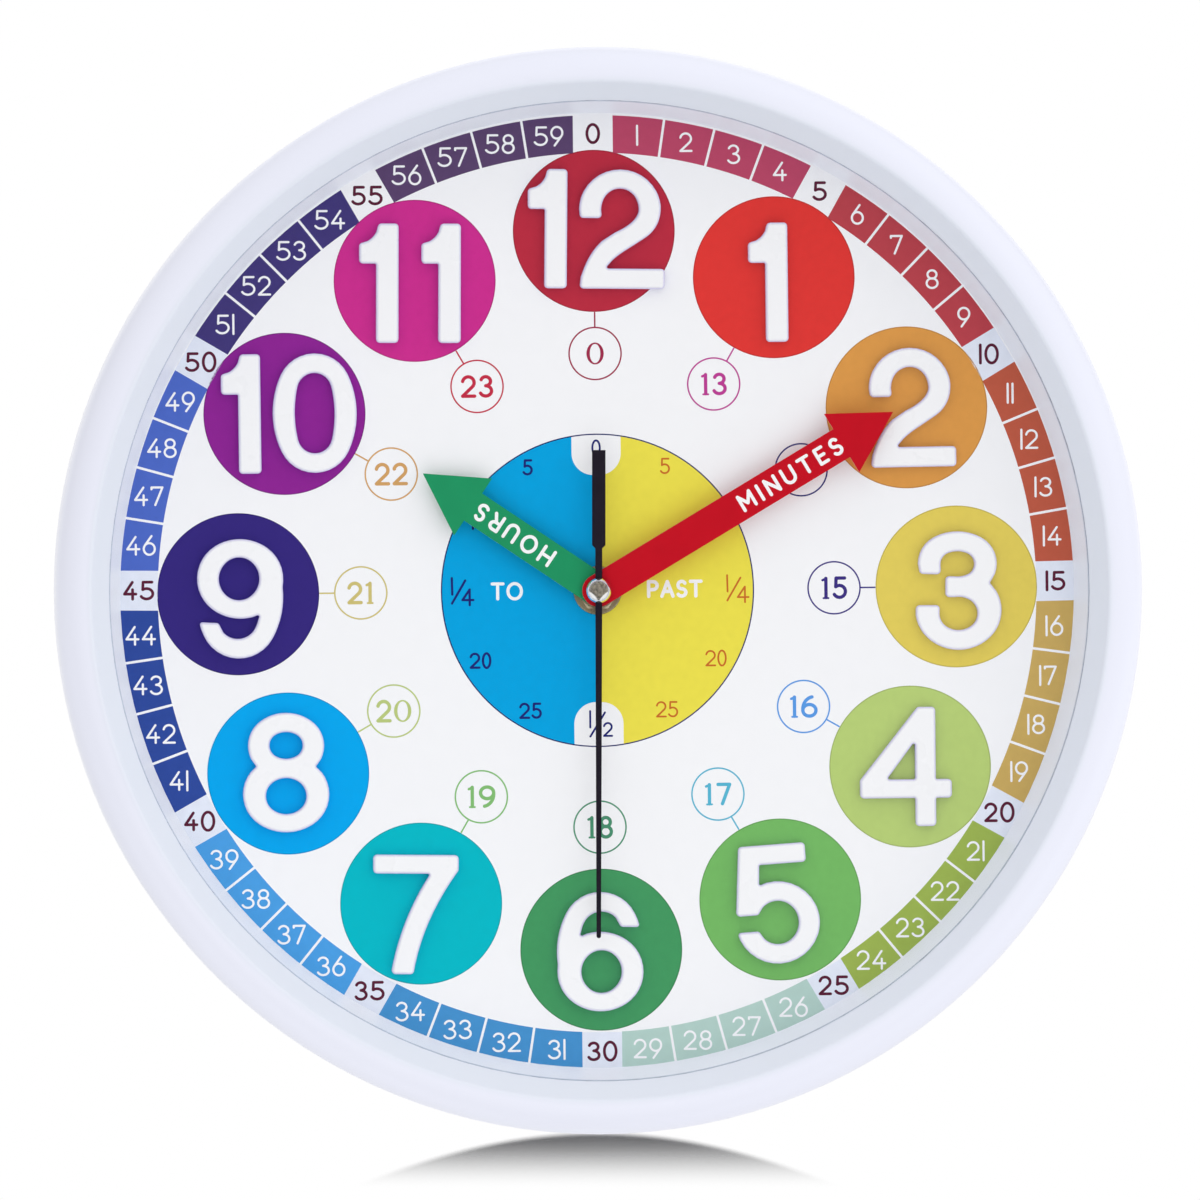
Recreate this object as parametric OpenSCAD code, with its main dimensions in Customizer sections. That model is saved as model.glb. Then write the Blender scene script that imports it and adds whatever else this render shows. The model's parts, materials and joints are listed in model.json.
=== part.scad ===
// Teaching wall clock: round plastic case, colour-coded dial with raised numerals,
// three hands and a battery quartz movement with its gear train.
// The clock is drawn face up (x right, y up, z from the wall towards the viewer)
// and then stood upright: +Z is up and the face looks along -Y.
// The origin is the centre of the hanging keyhole on the rear face of the back cover.

/* [Case] */
// Outer diameter of the round frame
case_d = 300; // [280:1:330]
// Width of the frame seen from the front, from its outer edge to the lip over the lens
rim_w = 14.7; // [13.5:0.1:17]
// Radius of the rounded outer edge of the frame
roll_r = 9; // [6:0.5:11]
// Radius of the crest where the rounded edge meets the inner slope
crest_round = 1.2; // [0.6:0.1:2]
// Height of the crest above the lens
crest_rise = 7; // [5:0.5:10]
// Thickness of the outer wall of the frame
frame_wall = 3; // [2:0.1:3.6]
// Thickness of the inner wall that holds the lens and the dial
seat_wall = 2; // [1.6:0.1:2.4]
// How far the lip covers the edge of the lens
lip_cover = 2.3; // [1.5:0.1:3]
// Thickness of the edge of the lip
lip_edge = 0.8; // [0.5:0.1:1.5]

/* [Dial and lens] */
// Thickness of the lens
lens_t = 1.5; // [1:0.1:2.5]
// Depth of the space between the dial and the lens
lens_gap = 13; // [12:0.5:18]
// Thickness of the dial plate
dial_t = 2; // [1.5:0.1:3]
// Thickness of the printed dial sheet
print_t = 0.3; // [0.2:0.1:0.6]
// How far the foot of the spacer ring reaches in from the edge of the lip
spacer_foot = 3.3; // [2:0.1:5]

/* [Numerals] */
// Height of the raised numerals
numeral_h = 33; // [26:0.5:36]
// Thickness of the raised numerals
numeral_t = 3; // [2:0.1:3.4]
// Radius of the ring on which the numerals stand
numeral_ring = 99.4; // [90:0.2:104]

/* [Hands] */
// Length of the hour hand from the hub to its tip
hour_len = 58.3; // [45:0.1:75]
// Length of the minute hand from the hub to its tip
minute_len = 95.3; // [80:0.1:115]
// Length of the second hand from the hub to its tip
second_len = 96; // [80:0.5:115]
// Length of the counterweight tail of the second hand
tail_len = 38.8; // [30:0.1:50]
// Width of the shafts of the hour and minute hands
shaft_w = 9; // [8:0.1:11]
// Width of the arrowheads
head_w = 18.9; // [14:0.1:24]
// Length of the arrowheads
head_len = 16.7; // [12:0.1:22]
// Width of the second hand at the hub
needle_w = 1.9; // [1.2:0.1:2.2]
// Width of the counterweight tail
tail_w = 3.7; // [2.5:0.1:5]
// Thickness of the hour and minute hands
hand_t = 0.5; // [0.4:0.1:0.8]
// Thickness of the second hand
needle_t = 0.4; // [0.3:0.1:0.6]
// Radius of the domed cap on the second hand
cap_r = 3.45; // [2.6:0.05:4]
// Height of the domed cap
cap_h = 2; // [1.2:0.1:2.4]
// Direction of the hour hand, degrees clockwise from twelve
hour_angle = 303.7; // [0:0.1:360]
// Direction of the minute hand, degrees clockwise from twelve
minute_angle = 58.8; // [0:0.1:360]
// Direction of the second hand, degrees clockwise from twelve
second_angle = 180; // [0:0.1:360]

/* [Back cover] */
// How far the rear face of the back cover lies inside the rear rim
cover_recess = 2; // [1.8:0.1:3]
// Thickness of the back cover
cover_t = 2.5; // [1.5:0.1:3]
// Height of the hanging keyhole above the centre of the dial
key_y = 105; // [85:1:115]
// Radius of the keyhole's wide end, which passes a screw head
key_r = 4.5; // [4:0.1:6]
// Width of the keyhole's slot, which holds a screw shank
slot_w = 4.6; // [4.2:0.1:5.2]
// Distance from the wide end's centre to the end of the slot
slot_rise = 9; // [8:0.5:12]
// Side of the square window over the movement
window_w = 62; // [60:0.5:70]
// Number of back cover screws
screw_count = 6; // [4:1:8]
// Radius of the screw shanks
screw_r = 1.1; // [0.9:0.05:1.3]

/* [Movement] */
// Side of the square movement case
movement_w = 56; // [55.4:0.1:57.5]
// Depth of the movement case
movement_t = 16; // [16:0.1:18]
// Thickness of the movement's side walls
movement_wall = 1.5; // [1.2:0.1:1.6]
// Thickness of the movement's front wall
movement_front = 1.6; // [1.5:0.1:2]
// Thickness of the movement's rear cover
movement_back = 1.2; // [1.1:0.1:1.6]
// Thickness of the rubber washer behind the dial
rubber_t = 0.7; // [0.5:0.1:1.5]
// Thickness of the gear wheels
wheel_t = 1; // [0.8:0.05:1]
// Running gap along the arbors
run_gap = 0.45; // [0.3:0.05:0.45]
// Distance from the hub to the minute wheel
motion_d = 14; // [13.4:0.1:14.4]
// Distance from the hub to the third wheel
third_d = 12.6; // [12.4:0.1:13]
// Distance from the hub to the fifth wheel
fifth_d = 11.2; // [10.8:0.1:11.6]
// Distance from the fifth wheel to the rotor
rotor_d = 9; // [8.8:0.1:9.4]
// Diameter of the battery
battery_d = 14.2; // [13.5:0.1:14.3]
// Length of the battery with its terminal
battery_l = 50.5; // [49:0.1:50.5]
// Radius of the setting knob
knob_r = 5; // [3.5:0.1:6]

/* [Hub] */
// Outer radius of the threaded bush
bush_r = 4; // [3.8:0.05:4.5]
// Outer radius of the hour tube
hour_tube_r = 2.5; // [2.4:0.05:2.8]
// Outer radius of the minute tube
minute_tube_r = 1.75; // [1.6:0.05:1.9]
// Radius of the second arbor
second_arbor_r = 0.7; // [0.6:0.05:0.8]
// Radial running clearance of the concentric arbors
arbor_gap = 0.05; // [0.03:0.01:0.08]
// Radius of the brass washer on the dial
washer_r = 6.7; // [6.4:0.1:8]
// Thickness of the brass washer
washer_t = 0.4; // [0.3:0.1:0.8]
// Width of the hex nut across its flats
nut_af = 10; // [9.6:0.1:11]
// Thickness of the hex nut
nut_t = 2; // [1.6:0.1:3]

/* [Hidden] */

$fn = 96;
// Overshoot of cuts past the faces that they open
cut = 1;

// Depths from the wall plane, in the order of the stack
z_cover_rear = cover_recess;
z_cover_front = z_cover_rear + cover_t;
z_movement_rear = z_cover_front;
z_movement_front = z_movement_rear + movement_t;
z_front_wall = z_movement_front - movement_front;
z_plate_rear = z_movement_front + rubber_t;
z_plate_front = z_plate_rear + dial_t;
z_dial = z_plate_front + print_t;
z_lens_rear = z_dial + lens_gap;
z_lens_front = z_lens_rear + lens_t;
z_crest = z_lens_front + crest_rise;
z_roll = z_crest - roll_r;

// Radii of the case
case_r = case_d / 2;
lip_r = case_r - rim_w;
lens_r = lip_r + lip_cover;
seat_gap = 0.4;
seat_r = lens_r + seat_gap;
groove_r0 = seat_r + seat_wall;
groove_r1 = case_r - frame_wall;
crest_r = case_r - roll_r;
web_t = 5.5;
z_groove = z_crest - web_t;

// Point where the inner slope runs into the round of the crest
lip_corner = [lip_r, z_lens_front + lip_edge];
crest_centre = [crest_r, z_crest - crest_round];
slope_run = crest_centre - lip_corner;
slope_turn = atan2(slope_run[1], slope_run[0]) + asin(crest_round / norm(slope_run));
slope_len = sqrt(norm(slope_run) ^ 2 - crest_round ^ 2);
slope_top = lip_corner + slope_len * [cos(slope_turn), sin(slope_turn)];

// Back cover, its screws and its ribs
cover_r = groove_r1 - seat_gap;
boss_ring = (groove_r0 + groove_r1) / 2;
boss_bite = 0.4;
boss_r = (groove_r1 - groove_r0) / 2 + boss_bite;
screw_depth = 12;
screw_len = 10;
screw_head_r = 2.9;
screw_head_t = 1.5;
screw_clear = 0.5;
clamp_w = 2.6;
clamp_r1 = seat_r - 2;
rib_w = 1.6;
rib_h = 5;
window_round = 4;
window_skirt = 1.5;
window_skirt_h = 6;

// Movement layers from the rear cover to the bush
movement_round = 3;
inner_half = movement_w / 2 - movement_wall;
z_back_front = z_movement_rear + movement_back;
first_gap = 1.4;
layer_gap = 0.9;
train_gap = 0.8;
train_t = 0.8;
z_fifth = z_back_front + first_gap;
z_second = z_fifth + wheel_t + layer_gap;
z_third = z_second + wheel_t + layer_gap;
z_train_rear = z_third + wheel_t + train_gap;
z_train_front = z_train_rear + train_t;
z_centre = z_train_front + run_gap;
z_minute = z_centre + wheel_t + run_gap;
z_hour = z_minute + wheel_t + run_gap;
flange_t = 0.6;
flange_r = bush_r + 2;
z_flange = z_front_wall - flange_t;
pivot_depth = 0.7;
z_pivot = z_back_front - pivot_depth;

// Hub stack above the dial: bush, then the hour, minute and second hands
bush_proud = 1;
foot_t = 0.35;
rim_t = 0.4;
collet_wall = 0.6;
collet_flange = 0.9;
z_bush_top = z_dial + washer_t + nut_t + bush_proud;
z_hour_foot = z_bush_top + run_gap;
z_hour_hand = z_hour_foot + foot_t;
z_hour_top = z_hour_hand + hand_t + rim_t;
z_minute_foot = z_hour_top + run_gap;
z_minute_hand = z_minute_foot + foot_t;
z_minute_top = z_minute_hand + hand_t + rim_t;
z_second_foot = z_minute_top + run_gap;
z_second_hand = z_second_foot + foot_t;
z_second_top = z_second_hand + needle_t;
cap_grip = 0.6;
// Width of the needle's tip against its root, and the share of the tail that stays narrow
needle_tip = 0.65;
tail_neck = 0.3;
hour_bore = minute_tube_r + arbor_gap;
minute_bore = second_arbor_r + arbor_gap;
bush_bore = hour_tube_r + arbor_gap;

// Teeth: share of the pitch at root and tip, heights in modules, counts and modules
tooth_root = 0.55;
tooth_tip = 0.2;
tooth_addendum = 0.7;
tooth_dedendum = 1.1;
cannon_n = 10;
minute_n = 30;
minute_pinion_n = 8;
hour_n = 32;
train_pinion_n = 8;
centre_n = 60;
third_n = 64;
second_n = 48;
fifth_n = 40;
motion_m = tooth_module(motion_d, cannon_n, minute_n);
hour_m = tooth_module(motion_d, minute_pinion_n, hour_n);
centre_m = tooth_module(third_d, train_pinion_n, centre_n);
third_m = tooth_module(third_d, train_pinion_n, third_n);
second_m = tooth_module(fifth_d, train_pinion_n, second_n);
fifth_m = tooth_module(rotor_d, train_pinion_n, fifth_n);

// Axes of the train around the hub
motion_turn = 150;
third_turn = 30;
fifth_turn = 100;
rotor_turn = 60;
motion_axis = polar(motion_d, motion_turn);
third_axis = polar(third_d, third_turn);
fifth_axis = polar(fifth_d, fifth_turn);
rotor_axis = fifth_axis + polar(rotor_d, rotor_turn);
setting_arbor_r = 1.5;
pivot_r = 0.8;
train_arbor_r = 0.6;
magnet_r = 3;
magnet_t = 3;
magnet_gap = 0.45;

// Posts between the rear cover, the train plate and the front wall
post_r = 1.8;
post_in = 3;
post_x = inner_half - post_in;
post_low = -7.5;
post_high = 16;
post_spots = [for (x = [-post_x, post_x]) for (y = [post_low, post_high]) [x, y]];
divider_t = 1.2;
cell_gap = 0.2;
battery_r = battery_d / 2;
battery_y = cell_gap + battery_r - inner_half;
battery_z = z_front_wall - cell_gap - battery_r;
divider_y = battery_y + battery_r + cell_gap;
gear_room_y = divider_y + divider_t;
// Room that the divider leaves around the widest wheels on the hub
wheel_room = 0.4;
wheel_room_r = max(tip_radius(centre_m, centre_n), tip_radius(hour_m, hour_n)) + wheel_room;
fit_gap = 0.2;
train_in = 1;
train_top = 18;

// Stepping motor: stator, core, bobbin and winding
stator_t = 1.2;
stator_lead = 0.3;
z_stator = z_second + stator_lead;
stator_ring_r = 5.5;
stator_arm_y = 15.4;
stator_arm_w = 3.2;
stator_tab_w = 2.8;
coil_x0 = -18.4;
coil_x1 = -5.4;
coil_y = 22.4;
core_w = 2.4;
core_t = 1.2;
core_over = 2.8;
bobbin_wall = 0.6;
bobbin_flange_r = 3.5;
bobbin_flange_t = 0.8;
winding_r = 3.2;
coil_z = z_stator + stator_t + core_t / 2;
stator_post_r = 1.4;
stator_lug = [7.2, 22.4];

// Circuit board with its crystal and chip, and the battery contacts
board_t = 1;
board_y0 = 18.4;
board_rise = 1.2;
z_board = z_front_wall - board_rise - board_t;
board_half = inner_half - train_in;
board_top = inner_half - fit_gap;
board_mid = (board_y0 + board_top) / 2;
crystal_r = 0.9;
crystal_l = 6;
chip_r = 2.2;
chip_t = 0.8;
contact_t = 0.35;
contact_w = 8;
contact_gap = 0.3;
tail_strip_w = 1.2;
terminal_r = 2.75;
terminal_l = 1;
cell_dish_r = 4.6;
cell_dish = 0.3;
battery_x1 = inner_half - contact_t - contact_gap - contact_gap;
battery_x0 = battery_x1 - battery_l;

// Setting knob behind the movement
knob_gap = 0.4;
knob_t = 2.4;
knob_flutes = 16;
knob_flute_r = 0.6;
z_knob = z_movement_rear - knob_gap - knob_t;

// Small placements of the numerals on their discs: right, up and turn, as glued by hand
numeral_places = [
  [-2.4, -0.9, 0.7], [0.7, 0.9, 1.1], [0.2, 0, 0.1], [-0.8, 0.9, 0.6],
  [-0.2, -0.7, 4.4], [0.7, -0.5, -0.5], [-0.6, -3.5, -0.4], [-0.1, -0.6, 0.1],
  [0.4, -2.3, -2.3], [0.8, -0.8, 0.8], [-2.1, -1.2, -0.1], [-0.6, 0.5, -0.4]
];
// Height for which the strokes of the numerals are written
drawn_h = 33;
unit = numeral_h / drawn_h;

function polar(r, a) = [r * cos(a), r * sin(a)];

function tooth_module(distance, n_a, n_b) = 2 * distance / (n_a + n_b);

// Radius of a gear over the tips of its teeth
function tip_radius(m, n) = m * (n / 2 + tooth_addendum);

// Outline of a spur gear with straight-sided teeth, one tooth centred at the given angle
function gear_points(m, n, turn) = [
  for (k = [0 : n - 1])
    for (corner = [[-1, 0], [-1, 1], [1, 1], [1, 0]])
      let (
        outside = corner[1] == 1,
        r = m * n / 2 + m * (outside ? tooth_addendum : -tooth_dedendum),
        half = (outside ? tooth_tip : tooth_root) * 180 / n
      )
      polar(r, turn + 360 * k / n + corner[0] * half)
];

// Turn of gear B so that it meshes with gear A, seen from A in the direction given
function mesh_turn(n_a, turn_a, direction, n_b) =
  direction + 180 + (direction - turn_a) * n_a / n_b + 180 / n_b;

// Points of a curve that leaves start towards bend and arrives at finish
function bow(start, bend, finish, steps = 10) = [
  for (i = [0 : steps])
    let (t = i / steps)
    (1 - t) ^ 2 * start + 2 * t * (1 - t) * bend + t ^ 2 * finish
];

function arc_points(centre, r, from, to, steps = 12) = [
  for (i = [0 : steps - 1]) centre + polar(r, from + (to - from) * i / steps)
];

// Points of an oval of four arcs that run into each other, with its long half axis along x
function oval_points(long, short, end_r) =
  let (
    flat_r = (long ^ 2 + short ^ 2 - 2 * long * end_r) / (2 * (short - end_r)),
    reach = long - end_r,
    drop = flat_r - short,
    join = atan2(drop, reach)
  )
  concat(
    arc_points([reach, 0], end_r, -join, join),
    arc_points([0, -drop], flat_r, join, 180 - join),
    arc_points([-reach, 0], end_r, 180 - join, 180 + join),
    arc_points([0, drop], flat_r, 180 + join, 360 - join)
  );

// Stands the face-up drawing upright, with the keyhole at the origin
module stand() {
  translate([0, z_cover_rear, -key_y]) rotate([90, 0, 0]) children();
}

// Plate with a 2-D outline between two depths
module slab(z0, z1) {
  translate([0, 0, z0]) linear_extrude(z1 - z0) children();
}

// Solid rod or disc on the axis of the point given
module rod(r, z0, z1, at = [0, 0]) {
  translate([at[0], at[1], z0]) cylinder(r = r, h = z1 - z0);
}

// Square with rounded corners, centred on the hub
module round_square(side, corner) {
  square([side, side - 2 * corner], center = true);
  square([side - 2 * corner, side], center = true);
  for (x = [-1, 1])
    for (y = [-1, 1])
      translate([x, y] * (side / 2 - corner)) circle(corner);
}

// Upright or lying oval of four arcs: half width, half height, radius of its tight ends
module oval(half_w, half_h, end_r) {
  rotate(half_h > half_w ? 90 : 0)
    polygon(oval_points(max(half_w, half_h), min(half_w, half_h), end_r));
}

// Box with its corner at x, y, used to cut the strokes of the numerals
module notch(x, y, w, h) {
  translate([x, y] * unit) square([w, h] * unit);
}

module bowl(x, y, half_w, half_h, end_r) {
  translate([x, y] * unit) oval(half_w * unit, half_h * unit, end_r * unit);
}

module digit_0() {
  difference() {
    bowl(0, 16.5, 11.6, 16.5, 10.2);
    bowl(0, 16.5, 5.5, 11.1, 4.8);
  }
}

module digit_1() {
  difference() {
    polygon(unit * [[-0.3, 33], [5.3, 33], [5.3, 0], [-0.9, 0], [-0.9, 21.9], [-5.6, 21.9], [-5.6, 33]]);
    translate([-6.2, 33.4] * unit) circle(6 * unit);
  }
}

module digit_2() {
  difference() {
    bowl(-0.3, 21.9, 11.3, 11.1, 10.8);
    bowl(-0.3, 21.9, 5.2, 5.8, 5);
    notch(-13, 8, 26, 13.9);
  }
  polygon(unit * [[-11.5, 22.6], [-11.3, 19.5], [-5.3, 19.5], [-5.6, 22.6]]);
  polygon(unit * concat(
    [[5.2, 23]],
    bow([4.95, 21.9], [4.6, 18.4], [-1.6, 15.6]),
    bow([-5.2, 13.2], [-9.4, 9.4], [-11.4, 1.8]),
    [[-11.4, 0], [12.2, 0], [12.2, 5.6]],
    bow([-4.3, 5.6], [-2.4, 8.4], [2.2, 11.2]),
    bow([6.2, 13.8], [10.7, 16.6], [10.95, 21.9]),
    [[10.7, 23]]
  ));
}

module digit_3() {
  difference() {
    union() {
      bowl(0, 23.9, 10.9, 8.9, 8.2);
      bowl(0.3, 11, 11.9, 11, 10.4);
    }
    bowl(0, 23.8, 4.7, 3.5, 3.2);
    bowl(0.3, 10.1, 5.3, 4.6, 4.3);
    notch(-13, 12.4, 9.7, 8.5);
    notch(-4.6, 20.4, 4.6, 2.9);
    notch(-4.9, 10.6, 5.2, 4);
  }
}

module digit_4() {
  difference() {
    polygon(unit * [
      [3.4, 33], [8.3, 33], [8.3, 13], [12.7, 13], [12.7, 7.8], [8.3, 7.8], [8.3, 0],
      [2.6, 0], [2.6, 7.8], [-12.7, 7.8], [-12.7, 12.8]
    ]);
    polygon(unit * [[2.6, 23.6], [2.6, 13], [-5.3, 13]]);
  }
}

module digit_5() {
  difference() {
    union() {
      bowl(0, 11.4, 11.6, 11.4, 11);
      polygon(unit * [[-11.5, 13], [-6.5, 13], [-4.6, 20], [-4, 27.6], [9, 27.6], [9, 33], [-9.4, 33]]);
    }
    bowl(0, 11.4, 5.8, 6, 5.6);
    notch(-13, 9.3, 8, 4.5);
  }
}

module digit_6() {
  difference() {
    union() {
      difference() {
        bowl(0, 16.5, 12, 16.5, 10.6);
        bowl(0.3, 17.6, 6.3, 10, 5.4);
        notch(0, 8, 13, 15.4);
      }
      bowl(0.1, 11, 11.9, 11, 10.6);
    }
    bowl(0.4, 11, 5.6, 5.9, 5.3);
  }
}

module digit_7() {
  polygon(unit * concat(
    [[-11.9, 33], [11.7, 33], [11.7, 28.8]],
    bow([11.7, 28.8], [1.6, 14.6], [-0.6, 0]),
    [[-6.8, 0]],
    bow([-6.8, 0], [-4.2, 15.2], [3.9, 27.8]),
    [[-11.9, 27.8]]
  ));
}

module digit_8() {
  difference() {
    union() {
      bowl(0, 23.9, 10.5, 9.1, 8.4);
      bowl(0, 10.5, 11.9, 10.5, 9.9);
    }
    bowl(0, 24, 4.6, 3.7, 3.4);
    bowl(0, 10, 5.6, 5, 4.7);
  }
}

module digit_9() {
  translate([0, drawn_h * unit]) rotate(180) digit_6();
}

module digit(d) {
  if (d == 0) digit_0();
  if (d == 1) digit_1();
  if (d == 2) digit_2();
  if (d == 3) digit_3();
  if (d == 4) digit_4();
  if (d == 5) digit_5();
  if (d == 6) digit_6();
  if (d == 7) digit_7();
  if (d == 8) digit_8();
  if (d == 9) digit_9();
}

// Outline of one hour, centred on its disc, with the two digits of 10, 11 and 12 side by side
module numeral_outline(hour) {
  ones_shift = hour == 11 ? 8.6 : 7;
  tens_shift = hour == 11 ? -8.6 : -13.2;
  centre_down = -drawn_h / 2 * unit;
  if (hour < 10) translate([0, centre_down]) digit(hour);
  if (hour >= 10) {
    translate([tens_shift * unit, centre_down]) digit(1);
    translate([ones_shift * unit, centre_down]) digit(hour - 10);
  }
}

module numeral(hour) {
  place = numeral_places[hour - 1];
  spot = polar(numeral_ring, 90 - 30 * hour) + [place[0], place[1]];
  color("white") stand()
    slab(z_dial, z_dial + numeral_t)
      translate(spot) rotate(place[2]) numeral_outline(hour);
}

module frame_profile() {
  difference() {
    union() {
      polygon([
        [lip_r, z_lens_front], lip_corner, slope_top, crest_centre, [crest_r, z_roll],
        [case_r, z_roll], [case_r, 0], [seat_r, 0], [seat_r, z_lens_front]
      ]);
      translate(crest_centre) circle(crest_round);
      translate([crest_r, z_roll]) intersection() {
        circle(roll_r);
        square(roll_r);
      }
    }
    translate([groove_r0, -cut]) square([groove_r1 - groove_r0, z_groove + cut]);
    translate([seat_r - cut, -cut]) square([groove_r1 - seat_r + cut, z_cover_front + cut]);
  }
}

// Repeats its children around the hub once for each screw, clear of the keyhole at the top
module each_screw() {
  for (k = [0 : screw_count - 1])
    rotate(90 + 180 / screw_count + 360 * k / screw_count) children();
}

module at_screws() {
  each_screw() translate([boss_ring, 0]) children();
}

module case_frame() {
  color("white") stand() difference() {
    union() {
      rotate_extrude() frame_profile();
      at_screws() rod(boss_r, z_cover_front, z_groove + cut);
    }
    at_screws() rod(screw_r, z_cover_front - cut, z_cover_front + screw_depth);
  }
}

module lens() {
  color([0.85, 0.93, 0.97, 0.3]) stand() rod(lens_r, z_lens_rear, z_lens_front);
}

module spacer_ring() {
  color("white") stand() rotate_extrude() polygon([
    [lip_r - spacer_foot, z_dial], [lens_r, z_dial], [lens_r, z_lens_rear], [lip_r, z_lens_rear]
  ]);
}

// Round plate with a hole for the bush
module dial_disc(z0, z1) {
  difference() {
    rod(lens_r, z0, z1);
    rod(bush_r, z0 - cut, z1 + cut);
  }
}

module dial_print() {
  color("aliceblue") stand() dial_disc(z_plate_front, z_dial);
}

module dial_plate() {
  color("ivory") stand() dial_disc(z_plate_rear, z_plate_front);
}

// Flat hand pointing to twelve: round hub end, parallel shaft and arrowhead
module arrow_outline(len) {
  circle(shaft_w / 2);
  translate([-shaft_w / 2, 0]) square([shaft_w, len - head_len]);
  polygon([[-head_w / 2, len - head_len], [head_w / 2, len - head_len], [0, len]]);
}

module arrow_hand(len, z, hole_r) {
  difference() {
    slab(z, z + hand_t) arrow_outline(len);
    rod(hole_r, z - cut, z + hand_t + cut);
  }
}

// Eyelet that grips a hand above and below and is pressed onto its tube
module collet(tube_r, z_foot, z_hand, z_top) {
  difference() {
    union() {
      rod(tube_r + collet_flange, z_foot, z_hand);
      rod(tube_r + collet_wall, z_foot, z_top);
      rod(tube_r + collet_flange, z_hand + hand_t, z_top);
    }
    rod(tube_r, z_foot - cut, z_top + cut);
  }
}

module hour_hand() {
  color("seagreen") stand() rotate(-hour_angle)
    arrow_hand(hour_len, z_hour_hand, hour_tube_r + collet_wall);
}

module hour_hand_collet() {
  color("goldenrod") stand() collet(hour_tube_r, z_hour_foot, z_hour_hand, z_hour_top);
}

module minute_hand() {
  color("firebrick") stand() rotate(-minute_angle)
    arrow_hand(minute_len, z_minute_hand, minute_tube_r + collet_wall);
}

module minute_hand_collet() {
  color("goldenrod") stand() collet(minute_tube_r, z_minute_foot, z_minute_hand, z_minute_top);
}

// Needle towards twelve with a rounded tip, and a wider counterweight tail behind the hub
module second_outline() {
  tip_w = needle_w * needle_tip;
  shoulder = tail_w / 2 - needle_w / 2;
  tail_start = tail_len * tail_neck;
  polygon([
    [-tip_w / 2, second_len - tip_w / 2], [tip_w / 2, second_len - tip_w / 2],
    [needle_w / 2, 0], [needle_w / 2, -tail_start],
    [tail_w / 2, -tail_start - shoulder], [tail_w / 2, -tail_len],
    [-tail_w / 2, -tail_len], [-tail_w / 2, -tail_start - shoulder],
    [-needle_w / 2, -tail_start], [-needle_w / 2, 0]
  ]);
  translate([0, second_len - tip_w / 2]) circle(tip_w / 2);
  circle(cap_r - cap_grip);
}

module second_hand() {
  color("black") stand() difference() {
    union() {
      slab(z_second_hand, z_second_top) rotate(-second_angle) second_outline();
      rod(second_arbor_r + collet_wall, z_second_foot, z_second_hand);
    }
    rod(second_arbor_r, z_second_foot - cut, z_second_top + cut);
  }
}

module second_hand_cap() {
  dome_r = (cap_r ^ 2 + cap_h ^ 2) / (2 * cap_h);
  color("silver") stand() difference() {
    translate([0, 0, z_second_top]) rotate_extrude() intersection() {
      translate([0, cap_h - dome_r]) circle(dome_r);
      square([cap_r, cap_h]);
    }
    rod(second_arbor_r, z_second_top - cut, z_second_top + cap_grip);
  }
}

module brass_washer() {
  color("goldenrod") stand() difference() {
    rod(washer_r, z_dial, z_dial + washer_t);
    rod(bush_r, z_dial - cut, z_dial + washer_t + cut);
  }
}

module hex_nut() {
  z0 = z_dial + washer_t;
  corner_r = nut_af / 2 / cos(30);
  chamfer = corner_r - nut_af / 2;
  color("goldenrod") stand() difference() {
    intersection() {
      translate([0, 0, z0]) cylinder(r = corner_r, h = nut_t, $fn = 6);
      translate([0, 0, z0]) rotate_extrude() polygon([
        [0, 0], [corner_r, 0], [corner_r, nut_t - chamfer / 2],
        [corner_r - chamfer, nut_t], [0, nut_t]
      ]);
    }
    rod(bush_r, z0 - cut, z0 + nut_t + cut);
  }
}

module rubber_washer() {
  rubber_r = 2 * washer_r;
  color("dimgray") stand() difference() {
    rod(rubber_r, z_movement_front, z_plate_rear);
    rod(bush_r, z_movement_front - cut, z_plate_rear + cut);
  }
}

module threaded_bush() {
  color("goldenrod") stand() difference() {
    union() {
      rod(flange_r, z_flange, z_front_wall);
      rod(bush_r, z_flange, z_bush_top);
    }
    rod(bush_bore, z_flange - cut, z_bush_top + cut);
  }
}

// Wide round end for a screw head, with a slot above it for the shank
module keyhole_outline() {
  translate([0, key_y]) {
    circle(key_r);
    translate([-slot_w / 2, 0]) square([slot_w, slot_rise - slot_w / 2]);
    translate([0, slot_rise - slot_w / 2]) circle(slot_w / 2);
  }
}

module back_cover() {
  window_out = window_w + 2 * window_skirt;
  color("whitesmoke") stand() difference() {
    union() {
      rod(cover_r, z_cover_rear, z_cover_front);
      slab(z_cover_front, z_plate_rear) difference() {
        circle(clamp_r1);
        circle(clamp_r1 - clamp_w);
      }
      slab(z_cover_front, z_cover_front + window_skirt_h) round_square(window_out, window_round);
      each_screw()
        translate([0, -rib_w / 2, z_cover_front]) cube([clamp_r1 - clamp_w / 2, rib_w, rib_h]);
    }
    slab(z_cover_rear - cut, z_cover_front + window_skirt_h + cut)
      round_square(window_w, window_round);
    slab(z_cover_rear - cut, z_cover_front + cut) keyhole_outline();
    at_screws() rod(screw_r + screw_clear, z_cover_rear - cut, z_cover_front + cut);
  }
}

module cover_screw() {
  cross_w = 0.8;
  cross_depth = 0.9;
  cross_len = 3.5;
  z_head = z_cover_rear - screw_head_t;
  difference() {
    union() {
      rod(screw_head_r, z_head, z_cover_rear);
      rod(screw_r, z_head, z_cover_front + screw_len);
    }
    for (a = [0, 90])
      rotate(a)
        translate([0, 0, z_head]) cube([cross_len, cross_w, 2 * cross_depth], center = true);
  }
}

module cover_screws() {
  color("silver") stand() at_screws() cover_screw();
}

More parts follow.
